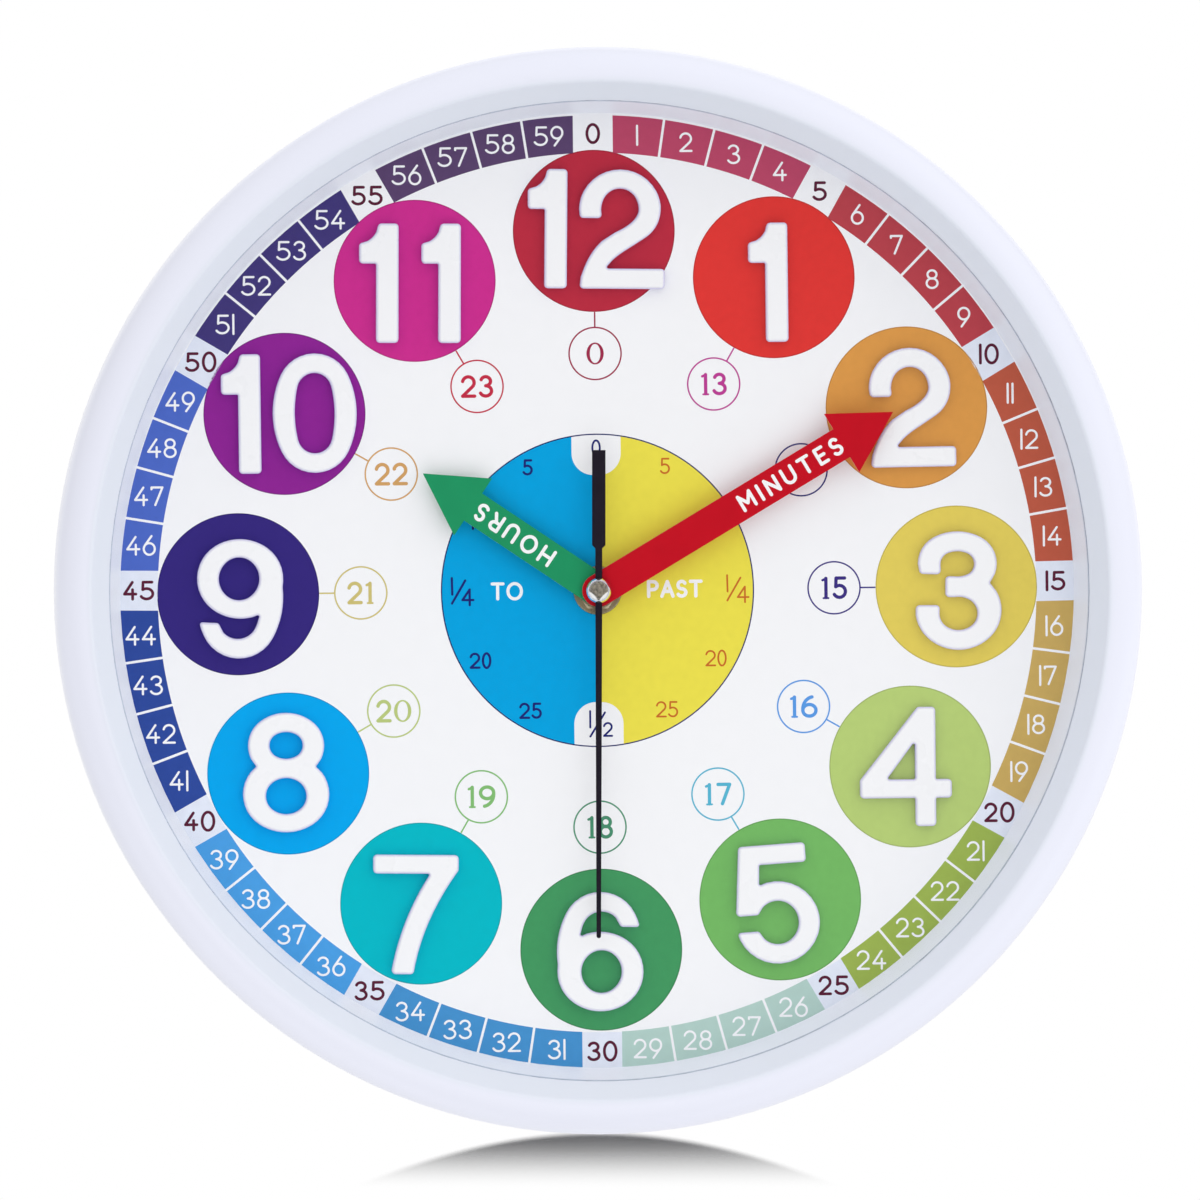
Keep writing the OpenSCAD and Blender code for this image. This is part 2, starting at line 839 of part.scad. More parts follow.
module movement_case() {
  color([0.16, 0.16, 0.17]) stand() difference() {
    union() {
      difference() {
        slab(z_movement_rear, z_movement_front) round_square(movement_w, movement_round);
        slab(z_movement_rear - cut, z_front_wall)
          round_square(2 * inner_half, movement_round - movement_wall);
      }
      difference() {
        translate([-inner_half + contact_t + fit_gap, divider_y, z_movement_rear])
          cube([2 * (inner_half - contact_t - fit_gap), divider_t, z_front_wall - z_movement_rear + cut]);
        rod(wheel_room_r, z_train_front, z_front_wall);
      }
      for (spot = post_spots) rod(post_r, z_train_front, z_front_wall + cut, spot);
      for (x = [-1, 1])
        rod(post_r, z_board + board_t, z_front_wall + cut, [x * board_half / 2, board_mid]);
    }
    rod(bush_r, z_front_wall - cut, z_movement_front + cut);
    rod(pivot_r + arbor_gap, z_front_wall - cut, z_front_wall + pivot_depth + arbor_gap, motion_axis);
  }
}

module movement_cover() {
  plate_low = gear_room_y + fit_gap;
  plate_half = inner_half - fit_gap;
  color([0.2, 0.2, 0.21]) stand() difference() {
    union() {
      slab(z_movement_rear, z_back_front) intersection() {
        round_square(2 * plate_half, movement_round - movement_wall);
        translate([-plate_half, plate_low]) square([2 * plate_half, plate_half - plate_low]);
      }
      for (spot = post_spots) rod(post_r, z_movement_rear, z_train_rear, spot);
      rod(stator_post_r, z_movement_rear, z_stator, stator_lug);
      rod(stator_post_r, z_movement_rear, z_stator, [coil_x0 - core_over / 2, stator_arm_y + stator_arm_w]);
    }
    rod(setting_arbor_r + arbor_gap, z_movement_rear - cut, z_back_front + cut, motion_axis);
    rod(minute_bore, z_pivot, z_back_front + cut);
    rod(minute_bore, z_pivot, z_back_front + cut, third_axis);
    rod(train_arbor_r + arbor_gap, z_pivot, z_back_front + cut, fifth_axis);
    rod(train_arbor_r + arbor_gap, z_pivot, z_back_front + cut, rotor_axis);
  }
}

module train_plate() {
  plate_half = inner_half - train_in;
  plate_low = gear_room_y + fit_gap;
  pivot_pad = 3;
  color("burlywood") stand() difference() {
    slab(z_train_rear, z_train_front) {
      translate([-plate_half, plate_low]) square([2 * plate_half, train_top - plate_low]);
      translate(rotor_axis) circle(pivot_pad);
    }
    for (bearing = [
      [minute_bore, [0, 0]], [minute_bore, third_axis], [setting_arbor_r + arbor_gap, motion_axis],
      [train_arbor_r + arbor_gap, fifth_axis], [train_arbor_r + arbor_gap, rotor_axis]
    ])
      rod(bearing[0], z_train_rear - cut, z_train_front + cut, bearing[1]);
  }
}

module gear(m, n, turn, z0, z1, at = [0, 0]) {
  slab(z0, z1) translate(at) polygon(gear_points(m, n, turn));
}

module hour_wheel() {
  turn = mesh_turn(minute_pinion_n, 0, motion_turn + 180, hour_n);
  color("white") stand() difference() {
    union() {
      gear(hour_m, hour_n, turn, z_hour, z_hour + wheel_t);
      rod(hour_tube_r, z_hour, z_hour_top);
    }
    rod(hour_bore, z_hour - cut, z_hour_top + cut);
  }
}

module minute_arbor() {
  z_foot = z_train_front + run_gap - arbor_gap;
  color("silver") stand() difference() {
    union() {
      gear(motion_m, cannon_n, 0, z_minute, z_minute + wheel_t);
      rod(minute_tube_r, z_foot, z_minute_top);
    }
    rod(minute_bore, z_foot - cut, z_minute_top + cut);
  }
}

module minute_wheel() {
  turn = mesh_turn(cannon_n, 0, motion_turn, minute_n);
  color("ivory") stand() {
    gear(motion_m, minute_n, turn, z_minute, z_minute + wheel_t, motion_axis);
    gear(hour_m, minute_pinion_n, 0, z_minute, z_hour + wheel_t, motion_axis);
    rod(setting_arbor_r, z_knob, z_minute, motion_axis);
    rod(pivot_r, z_minute, z_front_wall + pivot_depth - arbor_gap, motion_axis);
  }
}

module set_knob() {
  color("white") stand() difference() {
    slab(z_knob, z_knob + knob_t) translate(motion_axis) difference() {
      circle(knob_r);
      for (k = [0 : knob_flutes - 1]) translate(polar(knob_r, 360 * k / knob_flutes)) circle(knob_flute_r);
    }
    rod(setting_arbor_r, z_knob - cut, z_knob + knob_t + cut, motion_axis);
  }
}

module centre_wheel() {
  turn = mesh_turn(train_pinion_n, 0, third_turn + 180, centre_n);
  color("white") stand() difference() {
    gear(centre_m, centre_n, turn, z_centre, z_centre + wheel_t);
    rod(minute_tube_r + arbor_gap, z_centre - cut, z_centre + wheel_t + cut);
  }
}

module third_wheel() {
  turn = mesh_turn(train_pinion_n, 0, third_turn, third_n);
  color("ivory") stand() {
    gear(third_m, third_n, turn, z_third, z_third + wheel_t, third_axis);
    gear(centre_m, train_pinion_n, 0, z_train_front + run_gap / 2, z_centre + wheel_t, third_axis);
    rod(second_arbor_r, z_pivot + arbor_gap, z_centre + wheel_t, third_axis);
  }
}

module second_wheel() {
  color("white") stand() {
    gear(second_m, second_n, 0, z_second, z_second + wheel_t);
    gear(third_m, train_pinion_n, 0, z_second, z_third + wheel_t);
    rod(second_arbor_r, z_pivot + arbor_gap, z_second_top + cap_grip);
  }
}

module fifth_wheel() {
  turn = mesh_turn(second_n, 0, fifth_turn, train_pinion_n);
  color("ivory") stand() {
    gear(fifth_m, fifth_n, 0, z_fifth, z_fifth + wheel_t, fifth_axis);
    gear(second_m, train_pinion_n, turn, z_fifth, z_second + wheel_t, fifth_axis);
    rod(train_arbor_r, z_pivot + arbor_gap, z_train_front, fifth_axis);
  }
}

module rotor() {
  turn = mesh_turn(fifth_n, 0, rotor_turn, train_pinion_n);
  color("white") stand() {
    gear(fifth_m, train_pinion_n, turn, z_fifth, z_fifth + wheel_t, rotor_axis);
    rod(train_arbor_r, z_pivot + arbor_gap, z_train_front, rotor_axis);
  }
}

module rotor_magnet() {
  z0 = z_stator + stator_t / 2 - magnet_t / 2;
  color("dimgray") stand() difference() {
    rod(magnet_r, z0, z0 + magnet_t, rotor_axis);
    rod(train_arbor_r, z0 - cut, z0 + magnet_t + cut, rotor_axis);
  }
}

module stator() {
  left = coil_x0 - core_over;
  tab_top = coil_y + core_w / 2;
  color("lightsteelblue") stand() difference() {
    slab(z_stator, z_stator + stator_t) {
      translate(rotor_axis) circle(stator_ring_r);
      translate(stator_lug) circle(stator_post_r + fit_gap);
      translate([left, stator_arm_y]) square([rotor_axis[0] - left, stator_arm_w]);
      translate([left, stator_arm_y]) square([stator_tab_w - fit_gap, tab_top - stator_arm_y]);
      translate([coil_x1 + fit_gap, coil_y - core_w / 2])
        square([rotor_axis[0] - coil_x1 - fit_gap, core_w]);
    }
    rod(magnet_r + magnet_gap, z_stator - cut, z_stator + stator_t + cut, rotor_axis);
  }
}

// Block along the coil, centred on its axis
module coil_bar(x0, x1, w, t) {
  translate([x0, coil_y - w / 2, coil_z - t / 2]) cube([x1 - x0, w, t]);
}

module coil_round(x0, x1, r) {
  translate([x0, coil_y, coil_z]) rotate([0, 90, 0]) cylinder(r = r, h = x1 - x0);
}

module coil_core() {
  color("lightsteelblue") stand() coil_bar(coil_x0 - core_over, coil_x1 + core_over, core_w, core_t);
}

module coil_bobbin() {
  hub_r = norm([core_w, core_t]) / 2 + bobbin_wall;
  color("white") stand() difference() {
    union() {
      coil_round(coil_x0, coil_x1, hub_r);
      coil_round(coil_x0, coil_x0 + bobbin_flange_t, bobbin_flange_r);
      coil_round(coil_x1 - bobbin_flange_t, coil_x1, bobbin_flange_r);
    }
    coil_bar(coil_x0 - cut, coil_x1 + cut, core_w, core_t);
  }
}

module coil_winding() {
  hub_r = norm([core_w, core_t]) / 2 + bobbin_wall;
  x0 = coil_x0 + bobbin_flange_t;
  x1 = coil_x1 - bobbin_flange_t;
  color("chocolate") stand() difference() {
    coil_round(x0, x1, winding_r);
    coil_round(x0 - cut, x1 + cut, hub_r);
  }
}

module circuit_board() {
  color("darkgreen") stand()
    slab(z_board, z_board + board_t)
      translate([-board_half, board_y0]) square([2 * board_half, board_top - board_y0]);
}

module quartz_crystal() {
  crystal_x = 12;
  color("silver") stand()
    translate([crystal_x, board_mid, z_board - crystal_r])
      rotate([0, 90, 0]) cylinder(r = crystal_r, h = crystal_l);
}

module timing_chip() {
  chip_x = 3;
  color([0.06, 0.06, 0.07]) stand()
    rod(chip_r, z_board - chip_t, z_board, [chip_x, board_mid]);
}

// Strip on a side wall of the battery bay, with a tail that runs up to the circuit board
module contact_strip() {
  translate([inner_half - contact_t, battery_y - contact_w / 2, battery_z - contact_w / 2])
    cube([contact_t, contact_w, z_board - battery_z + contact_w / 2]);
  translate([inner_half - contact_t, battery_y - contact_w / 2, z_board - tail_strip_w])
    cube([contact_t, board_y0 + contact_w / 2 - battery_y, tail_strip_w]);
  translate([board_half - contact_t, board_y0 - tail_strip_w, z_board - contact_t])
    cube([inner_half - board_half + contact_t, 2 * tail_strip_w, contact_t]);
}

module contact_positive() {
  nub_r = 1.6;
  color("silver") stand() {
    contact_strip();
    translate([inner_half - contact_t - contact_gap, battery_y, battery_z])
      rotate([0, 90, 0]) cylinder(r = nub_r, h = contact_gap + contact_t);
  }
}

module contact_negative() {
  leaf_reach = battery_x0 + inner_half - contact_gap;
  color("silver") stand() {
    mirror([1, 0, 0]) contact_strip();
    slab(battery_z - contact_w / 4, battery_z + contact_w / 4) polygon([
      [-inner_half, battery_y - contact_w / 2], [-inner_half + leaf_reach, battery_y],
      [-inner_half, battery_y + contact_w / 2]
    ]);
  }
}

module battery() {
  shoulder = battery_l - terminal_l;
  color("dimgray") stand()
    translate([battery_x0, battery_y, battery_z]) rotate([0, 90, 0]) difference() {
      union() {
        cylinder(r = battery_r, h = shoulder);
        cylinder(r = terminal_r, h = battery_l);
      }
      translate([0, 0, -cut]) cylinder(r = cell_dish_r, h = cut + cell_dish);
    }
}

case_frame();
lens();
spacer_ring();
dial_print();
dial_plate();
for (hour = [1 : 12])
  numeral(hour);
hour_hand();
hour_hand_collet();
minute_hand();
minute_hand_collet();
second_hand();
second_hand_cap();
brass_washer();
hex_nut();
rubber_washer();
threaded_bush();
back_cover();
cover_screws();
movement_case();
movement_cover();
train_plate();
hour_wheel();
minute_arbor();
minute_wheel();
set_knob();
centre_wheel();
third_wheel();
second_wheel();
fifth_wheel();
rotor();
rotor_magnet();
stator();
coil_core();
coil_bobbin();
coil_winding();
circuit_board();
quartz_crystal();
timing_chip();
contact_positive();
contact_negative();
battery();
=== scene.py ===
"""Looks of a teaching wall clock: printed dial, raised numerals, hands, clear lens, case and movement."""

import json
import math

import bmesh
import bpy
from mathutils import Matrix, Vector
from mathutils.geometry import delaunay_2d_cdt

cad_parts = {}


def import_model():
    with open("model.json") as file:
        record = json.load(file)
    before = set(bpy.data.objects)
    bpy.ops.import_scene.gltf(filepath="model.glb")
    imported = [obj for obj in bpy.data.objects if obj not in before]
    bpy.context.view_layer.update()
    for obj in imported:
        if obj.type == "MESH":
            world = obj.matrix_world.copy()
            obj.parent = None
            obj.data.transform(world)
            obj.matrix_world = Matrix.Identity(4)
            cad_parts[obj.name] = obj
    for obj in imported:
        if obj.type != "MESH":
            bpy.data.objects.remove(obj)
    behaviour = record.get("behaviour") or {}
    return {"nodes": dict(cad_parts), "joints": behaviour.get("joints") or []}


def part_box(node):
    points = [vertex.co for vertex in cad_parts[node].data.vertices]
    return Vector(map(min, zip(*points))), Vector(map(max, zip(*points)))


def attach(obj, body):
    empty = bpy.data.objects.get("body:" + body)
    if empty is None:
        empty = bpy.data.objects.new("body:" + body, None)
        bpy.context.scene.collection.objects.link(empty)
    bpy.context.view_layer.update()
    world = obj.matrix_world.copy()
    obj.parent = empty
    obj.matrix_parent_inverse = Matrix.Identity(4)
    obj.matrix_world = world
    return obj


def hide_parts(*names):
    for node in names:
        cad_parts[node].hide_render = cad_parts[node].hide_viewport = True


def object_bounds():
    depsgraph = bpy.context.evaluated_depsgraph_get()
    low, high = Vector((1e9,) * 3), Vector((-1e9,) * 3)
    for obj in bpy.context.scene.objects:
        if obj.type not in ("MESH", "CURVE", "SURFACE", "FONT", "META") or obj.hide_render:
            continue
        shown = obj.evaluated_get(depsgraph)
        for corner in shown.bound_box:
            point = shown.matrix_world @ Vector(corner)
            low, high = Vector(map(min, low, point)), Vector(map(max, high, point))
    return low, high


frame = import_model()
cad_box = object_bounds()
nodes = frame["nodes"]

# Sizes of the print are in millimetres from the hub, seen from the front: right, then up
MM = 0.001
SNAP = 1e-3
INK = 0.04
HUB = next(Vector(j["pos_m"]) for j in frame["joints"] if j["name"] == "hour_hand_turn")
DIAL_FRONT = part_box("dial_print")[0].y
# The sheet is glued a little counter-clockwise of upright
PRINT_TURN = math.radians(0.6)


# Colours

def linear(text):
    """A colour written as RRGGBB, in linear light."""
    parts = [int(text[i:i + 2], 16) / 255 for i in (0, 2, 4)]
    return [p / 12.92 if p <= 0.04045 else ((p + 0.055) / 1.055) ** 2.4 for p in parts]


PAPER = "F2F3F7"
# Painted shade on the cells of the fives
SHADED_CELL_COLOUR = "E0E6F4"
PLUM = "5A2038"
NAVY = "1C2372"
BROWN = "C4682C"
BLUE = "00A0DE"
YELLOW = "E8DC4E"
DISC_COLOURS = {
    1: "DD3835", 2: "D9984C", 3: "DECA5D", 4: "B4CC77", 5: "73B664", 6: "439660",
    7: "00B6C4", 8: "00A4EB", 9: "35287C", 10: "8C2492", 11: "C92E8D", 12: "B82D41",
}
TRACK_COLOURS = [
    "B74867", "B7444E", "BA5A45", "C6A761", "9BB254", "B0CDC6",
    "4690CB", "4A9CDF", "2F4A9A", "4D69C3", "423978", "5A446C",
]
RING_COLOURS = [
    "9C2C4C", "B83C92", "2C2C78", "3C3080", "5898E2", "54B2D0",
    "4A9070", "80BA72", "B6C67C", "CABC76", "CE9E64", "C02C46",
]


# Materials

COAT_ROUGH = 0.08
LEAST_ROUGH = 0.02
MOTTLE_DETAIL = 4
WEAR_DETAIL = 5
GRAIN_DETAIL = 2
# Height of a grain against its size
GRAIN_DEPTH = 0.25
# Most values of a noise lie between these
NOISE_LOW = 0.3
NOISE_HIGH = 0.7


def tree(name):
    """A new material with its node tree emptied down to an output."""
    material = bpy.data.materials.new(name)
    material.use_nodes = True
    material.node_tree.nodes.clear()
    out = material.node_tree.nodes.new("ShaderNodeOutputMaterial")
    return material, material.node_tree, out


def noise(nodes_of, links, size_mm, detail=3.0, stretch=(1, 1, 1)):
    """Noise in the object's own frame whose spots measure about size_mm."""
    place = nodes_of.new("ShaderNodeTexCoord")
    scale = nodes_of.new("ShaderNodeMapping")
    scale.inputs["Scale"].default_value = stretch
    spots = nodes_of.new("ShaderNodeTexNoise")
    spots.inputs["Scale"].default_value = 1 / (size_mm * MM)
    spots.inputs["Detail"].default_value = detail
    links.new(place.outputs["Object"], scale.inputs["Vector"])
    links.new(scale.outputs["Vector"], spots.inputs["Vector"])
    return spots.outputs["Fac"]


def remap(nodes_of, links, value, start, end, low, high, smooth=False):
    """A value between start and end, carried over to between low and high."""
    change = nodes_of.new("ShaderNodeMapRange")
    change.interpolation_type = "SMOOTHSTEP" if smooth else "LINEAR"
    for socket, number in (("From Min", start), ("From Max", end), ("To Min", low), ("To Max", high)):
        change.inputs[socket].default_value = number
    links.new(value, change.inputs["Value"])
    return change.outputs["Result"]


def spread(nodes_of, links, value, low, high):
    """A noise stretched to run from low to high."""
    return remap(nodes_of, links, value, NOISE_LOW, NOISE_HIGH, low, high)


def sums(nodes_of, links, operation, first, second):
    """Two values joined by a sum of the given kind. The second may be a plain number."""
    joined = nodes_of.new("ShaderNodeMath")
    joined.operation = operation
    links.new(first, joined.inputs[0])
    if isinstance(second, (int, float)):
        joined.inputs[1].default_value = second
    else:
        links.new(second, joined.inputs[1])
    return joined.outputs["Value"]


def blended(nodes_of, links, share, low, high):
    """A colour between two. Each is a list of numbers or another node's colour."""
    blend = nodes_of.new("ShaderNodeMix")
    blend.data_type = "RGBA"
    links.new(share, blend.inputs["Factor"])
    for socket, colour in ((blend.inputs[6], low), (blend.inputs[7], high)):
        if isinstance(colour, (list, tuple)):
            socket.default_value = [*colour, 1]
        else:
            links.new(colour, socket)
    return blend.outputs[2]


def finish(name, colour, rough, metal=0.0, mottle=0.03, mottle_mm=14, grain=0.05, grain_mm=0.6,
           wear=0.06, coat=0.0, gloss=0.5, stretch=(1, 1, 1), second=None):
    """A solid finish: its colour drifts by mottle, its roughness by wear, and grain roughens its surface.
    Second is another colour and the function that says where it shows."""
    material, made, out = tree(name)
    new, links = made.nodes, made.links
    shader = new.new("ShaderNodeBsdfPrincipled")
    shader.inputs["Metallic"].default_value = metal
    shader.inputs["Coat Weight"].default_value = coat
    shader.inputs["Coat Roughness"].default_value = COAT_ROUGH
    shader.inputs["Specular IOR Level"].default_value = gloss
    base = linear(colour)
    darker = [c * (1 - mottle) for c in base]
    lighter = [min(1, c * (1 + mottle)) for c in base]
    spots = spread(new, links, noise(new, links, mottle_mm, MOTTLE_DETAIL, stretch), 0, 1)
    shown = blended(new, links, spots, darker, lighter)
    if second:
        other, where = second
        shown = blended(new, links, where(new, links), shown, linear(other))
    links.new(shown, shader.inputs["Base Color"])
    rub = noise(new, links, mottle_mm / 2, WEAR_DETAIL, stretch)
    rub = spread(new, links, rub, max(LEAST_ROUGH, rough - wear), min(1, rough + wear))
    links.new(rub, shader.inputs["Roughness"])
    bump = new.new("ShaderNodeBump")
    bump.inputs["Strength"].default_value = grain
    bump.inputs["Distance"].default_value = grain_mm * MM * GRAIN_DEPTH
    links.new(noise(new, links, grain_mm, GRAIN_DETAIL, stretch), bump.inputs["Height"])
    links.new(bump.outputs["Normal"], shader.inputs["Normal"])
    links.new(shader.outputs["BSDF"], out.inputs["Surface"])
    return material


def ink(name, colour):
    """Printing ink on the dial sheet: satin, with the faint mottle of the print."""
    return finish(name, colour, rough=0.5, mottle=0.022, mottle_mm=2.2, grain=0.04, grain_mm=0.35, gloss=0.05)


def axis_reach(nodes_of, links):
    """Distance from the hub axis, in metres."""
    place = nodes_of.new("ShaderNodeTexCoord")
    from_hub = nodes_of.new("ShaderNodeVectorMath")
    from_hub.operation = "SUBTRACT"
    from_hub.inputs[1].default_value = HUB
    flat = nodes_of.new("ShaderNodeVectorMath")
    flat.operation = "MULTIPLY"
    flat.inputs[1].default_value = (1, 0, 1)
    reach = nodes_of.new("ShaderNodeVectorMath")
    reach.operation = "LENGTH"
    links.new(place.outputs["Object"], from_hub.inputs[0])
    links.new(from_hub.outputs["Vector"], flat.inputs[0])
    links.new(flat.outputs["Vector"], reach.inputs[0])
    return reach.outputs["Value"]


# How squarely a surface faces the front where a second colour is full, and where it ends: the painted
# highlight on the sides of the hands, then the painted shade on the bevels of the numerals
SIDE_FACING = (0.3, 0.5)
EDGE_FACING = (0.5, 0.97)


def facing(nodes_of, links):
    """How squarely a surface faces the front or the rear: zero on sides, one on flats."""
    place = nodes_of.new("ShaderNodeTexCoord")
    way = nodes_of.new("ShaderNodeSeparateXYZ")
    links.new(place.outputs["Normal"], way.inputs["Vector"])
    return sums(nodes_of, links, "ABSOLUTE", way.outputs["Y"], 0)


def painted_side_highlight(nodes_of, links):
    """One on the cut sides of a flat piece, where a highlight is painted, zero on its front and rear."""
    return remap(nodes_of, links, facing(nodes_of, links), *SIDE_FACING, 1, 0)


def painted_bevel_shade(nodes_of, links):
    """One on the sides of a flat piece and on its rounded edges, where shade is painted, zero on its front.
    """
    return remap(nodes_of, links, facing(nodes_of, links), *EDGE_FACING, 1, 0, True)


# Where the painted shade on the inner slope of the case begins, and how softly it fades across the crest
CREST_R = 141.0
CREST_HALF = 1.5


def painted_slope_shade(nodes_of, links):
    """One on the slope inside the crest of the case, where shade is painted, zero outside it."""
    reach = axis_reach(nodes_of, links)
    return remap(nodes_of, links, reach, (CREST_R - CREST_HALF) * MM, (CREST_R + CREST_HALF) * MM, 1, 0, True)


BATTERY_END = 1.8


def battery_ends(nodes_of, links):
    """One on the bare metal ends of the battery, zero on its sleeve."""
    low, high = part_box("battery")
    place = nodes_of.new("ShaderNodeTexCoord")
    across = nodes_of.new("ShaderNodeSeparateXYZ")
    links.new(place.outputs["Object"], across.inputs["Vector"])
    middle, reach = (low.x + high.x) / 2, (high.x - low.x) / 2 - BATTERY_END * MM
    off = sums(nodes_of, links, "SUBTRACT", across.outputs["X"], middle)
    off = sums(nodes_of, links, "ABSOLUTE", off, 0)
    return remap(nodes_of, links, off, reach, reach + INK * MM, 0, 1)


LENS_ROUGH = 0.04
# Share of light that the lens mirrors, seen straight on and from its side
LENS_MIRROR = (0.003, 0.35)
LENS_SLANT = 5
LENS_TINT_MM = 60
LENS_TINTS = ((1, 0.999, 0.996), (1, 1, 0.999))
# Where the painted shadow line along the lip of the case ends, how wide it is, and its colour
LIP_R = 135.3
LIP_SHADE = 0.5
LIP_SHADOW_COLOUR = (0.74, 0.77, 0.82)


def clear_lens(name):
    """Clear moulded sheet: see-through, with a reflection that grows towards its edges and a painted shadow
    line where it meets the lip of the case."""
    material, made, out = tree(name)
    new, links = made.nodes, made.links
    through = new.new("ShaderNodeBsdfTransparent")
    shine = new.new("ShaderNodeBsdfGlossy")
    shine.inputs["Roughness"].default_value = LENS_ROUGH
    angle = new.new("ShaderNodeLayerWeight")
    slant = sums(new, links, "POWER", angle.outputs["Facing"], LENS_SLANT)
    mirror = remap(new, links, slant, 0, 1, *LENS_MIRROR)
    clear = blended(new, links, noise(new, links, LENS_TINT_MM), *LENS_TINTS)
    lip = remap(new, links, axis_reach(new, links), (LIP_R - LIP_SHADE) * MM, LIP_R * MM, 0, 1, True)
    mix = new.new("ShaderNodeMixShader")
    links.new(blended(new, links, lip, clear, LIP_SHADOW_COLOUR), through.inputs["Color"])
    links.new(mirror, mix.inputs["Fac"])
    links.new(through.outputs["BSDF"], mix.inputs[1])
    links.new(shine.outputs["BSDF"], mix.inputs[2])
    links.new(mix.outputs["Shader"], out.inputs["Surface"])
    return material


# Outlines: points in millimetres, and strokes of lettering

END_STEPS = 10
LOOP_STEPS = 36
# Keeps the outer points of a sharp mitre from running away
LEAST_MITRE = 0.5


def arc(centre, radius_x, radius_y, start, end, count=14):
    """Points on an oval from one angle to another, in degrees."""
    turns = [math.radians(start + (end - start) * i / count) for i in range(count + 1)]
    return [(centre[0] + radius_x * math.cos(t), centre[1] + radius_y * math.sin(t)) for t in turns]


def circle(centre, radius, count=96):
    return arc(centre, radius, radius, 0, 360, count)[:-1]


def clock_point(radius, angle):
    """A point at a clock angle, in degrees clockwise from twelve."""
    turn = math.radians(angle)
    return (radius * math.sin(turn), radius * math.cos(turn))


def moved(points, centre, turn=0.0):
    """Points turned counter-clockwise about the origin, which then goes to the centre."""
    cos, sin = math.cos(turn), math.sin(turn)
    return [(centre[0] + x * cos - y * sin, centre[1] + x * sin + y * cos) for x, y in points]


def stroke(path, width, closed=False):
    """Quads along a path, mitred at its points, with a half round at each free end.
    Width is one number, or one for each point."""
    points = [Vector(p) for p in path]
    count = len(points)
    halves = [w / 2 for w in width] if isinstance(width, list) else [width / 2] * count
    runs = [(points[(i + 1) % count] - points[i]).normalized() for i in range(count)]
    sides = []
    for i, point in enumerate(points):
        before = runs[i - 1] if i or closed else runs[i]
        after = runs[i] if i + 1 < count or closed else runs[i - 1]
        across = (before + after).normalized().orthogonal()
        reach = halves[i] / max(LEAST_MITRE, across.dot(after.orthogonal()))
        sides.append((point + across * reach, point - across * reach))
    pairs = range(count if closed else count - 1)
    quads = [[sides[i][0], sides[i][1], sides[(i + 1) % count][1], sides[(i + 1) % count][0]] for i in pairs]
    if not closed:
        for i, out in ((0, -runs[0]), (count - 1, runs[count - 2])):
            turn = math.degrees(math.atan2(out.y, out.x))
            quads.append(arc(points[i], halves[i], halves[i], turn - 90, turn + 90, END_STEPS))
    return quads


# Lettering: each sign has its width and its strokes, for a centre line of height one.
# A stroke holds its path, whether it closes, and its weight against the sign's own.

def line(*points, weight=1.0):
    """An open stroke through points."""
    return (list(points), False, weight)


def loop(centre, radius_x, radius_y, thin=None):
    """A closed oval stroke, thinned at its top and bottom where thin says so."""
    path = arc(centre, radius_x, radius_y, 0, 360, LOOP_STEPS)[:-1]
    if thin is None:
        return (path, True, 1.0)
    share = [thin + (1 - thin) * math.cos(2 * math.pi * i / LOOP_STEPS) ** 2 for i in range(LOOP_STEPS)]
    return (path, True, share)


def redrawn(sign, width, change):
    """A sign of another width, with each of its points changed."""
    strokes = [([change(x, y) for x, y in path], closed, weight) for path, closed, weight in sign[1]]
    return (width, strokes)


def turned(sign):
    """A sign upside down, as nine is to six."""
    return redrawn(sign, sign[0], lambda x, y: (sign[0] - x, 1 - y))


def widened(sign, share):
    """A sign with its width times a share."""
    return redrawn(sign, sign[0] * share, lambda x, y: (x * share, y))


TWO = (0.62, [line(*arc((0.3, 0.7), 0.3, 0.3, 168, -46), (0, 0)), line((0, 0), (0.62, 0))])
THREE = (0.58, [line(*arc((0.28, 0.765), 0.25, 0.235, 160, -90)),
                line(*arc((0.28, 0.265), 0.3, 0.265, 90, -155))])
FIVE = (0.58, [line((0.1, 1), (0.54, 1)), line((0.1, 1), (0.08, 0.555)),
               line(*arc((0.27, 0.31), 0.31, 0.31, 128, -150))])
SIX = (0.66, [loop((0.33, 0.31), 0.33, 0.33), line((0.47, 1.04), (0.072, 0.52))])
EIGHT = (0.58, [loop((0.29, 0.76), 0.235, 0.235), loop((0.29, 0.265), 0.285, 0.275)])
DIGITS = {
    "0": (0.7, [loop((0.35, 0.5), 0.35, 0.54)]),
    "1": (0.02, [line((0.01, -0.04), (0.01, 1.04))]),
    "2": TWO,
    "3": THREE,
    "4": (0.66, [line((0.46, 1), (0, 0.3)), line((0, 0.3), (0.66, 0.3)), line((0.47, 0.56), (0.47, 0))]),
    "5": FIVE,
    "6": SIX,
    "7": (0.6, [line((0, 0.9), (0, 1)), line((0, 1), (0.6, 1)), line((0.6, 1), (0.2, 0))]),
    "8": EIGHT,
    "9": turned(SIX),
}


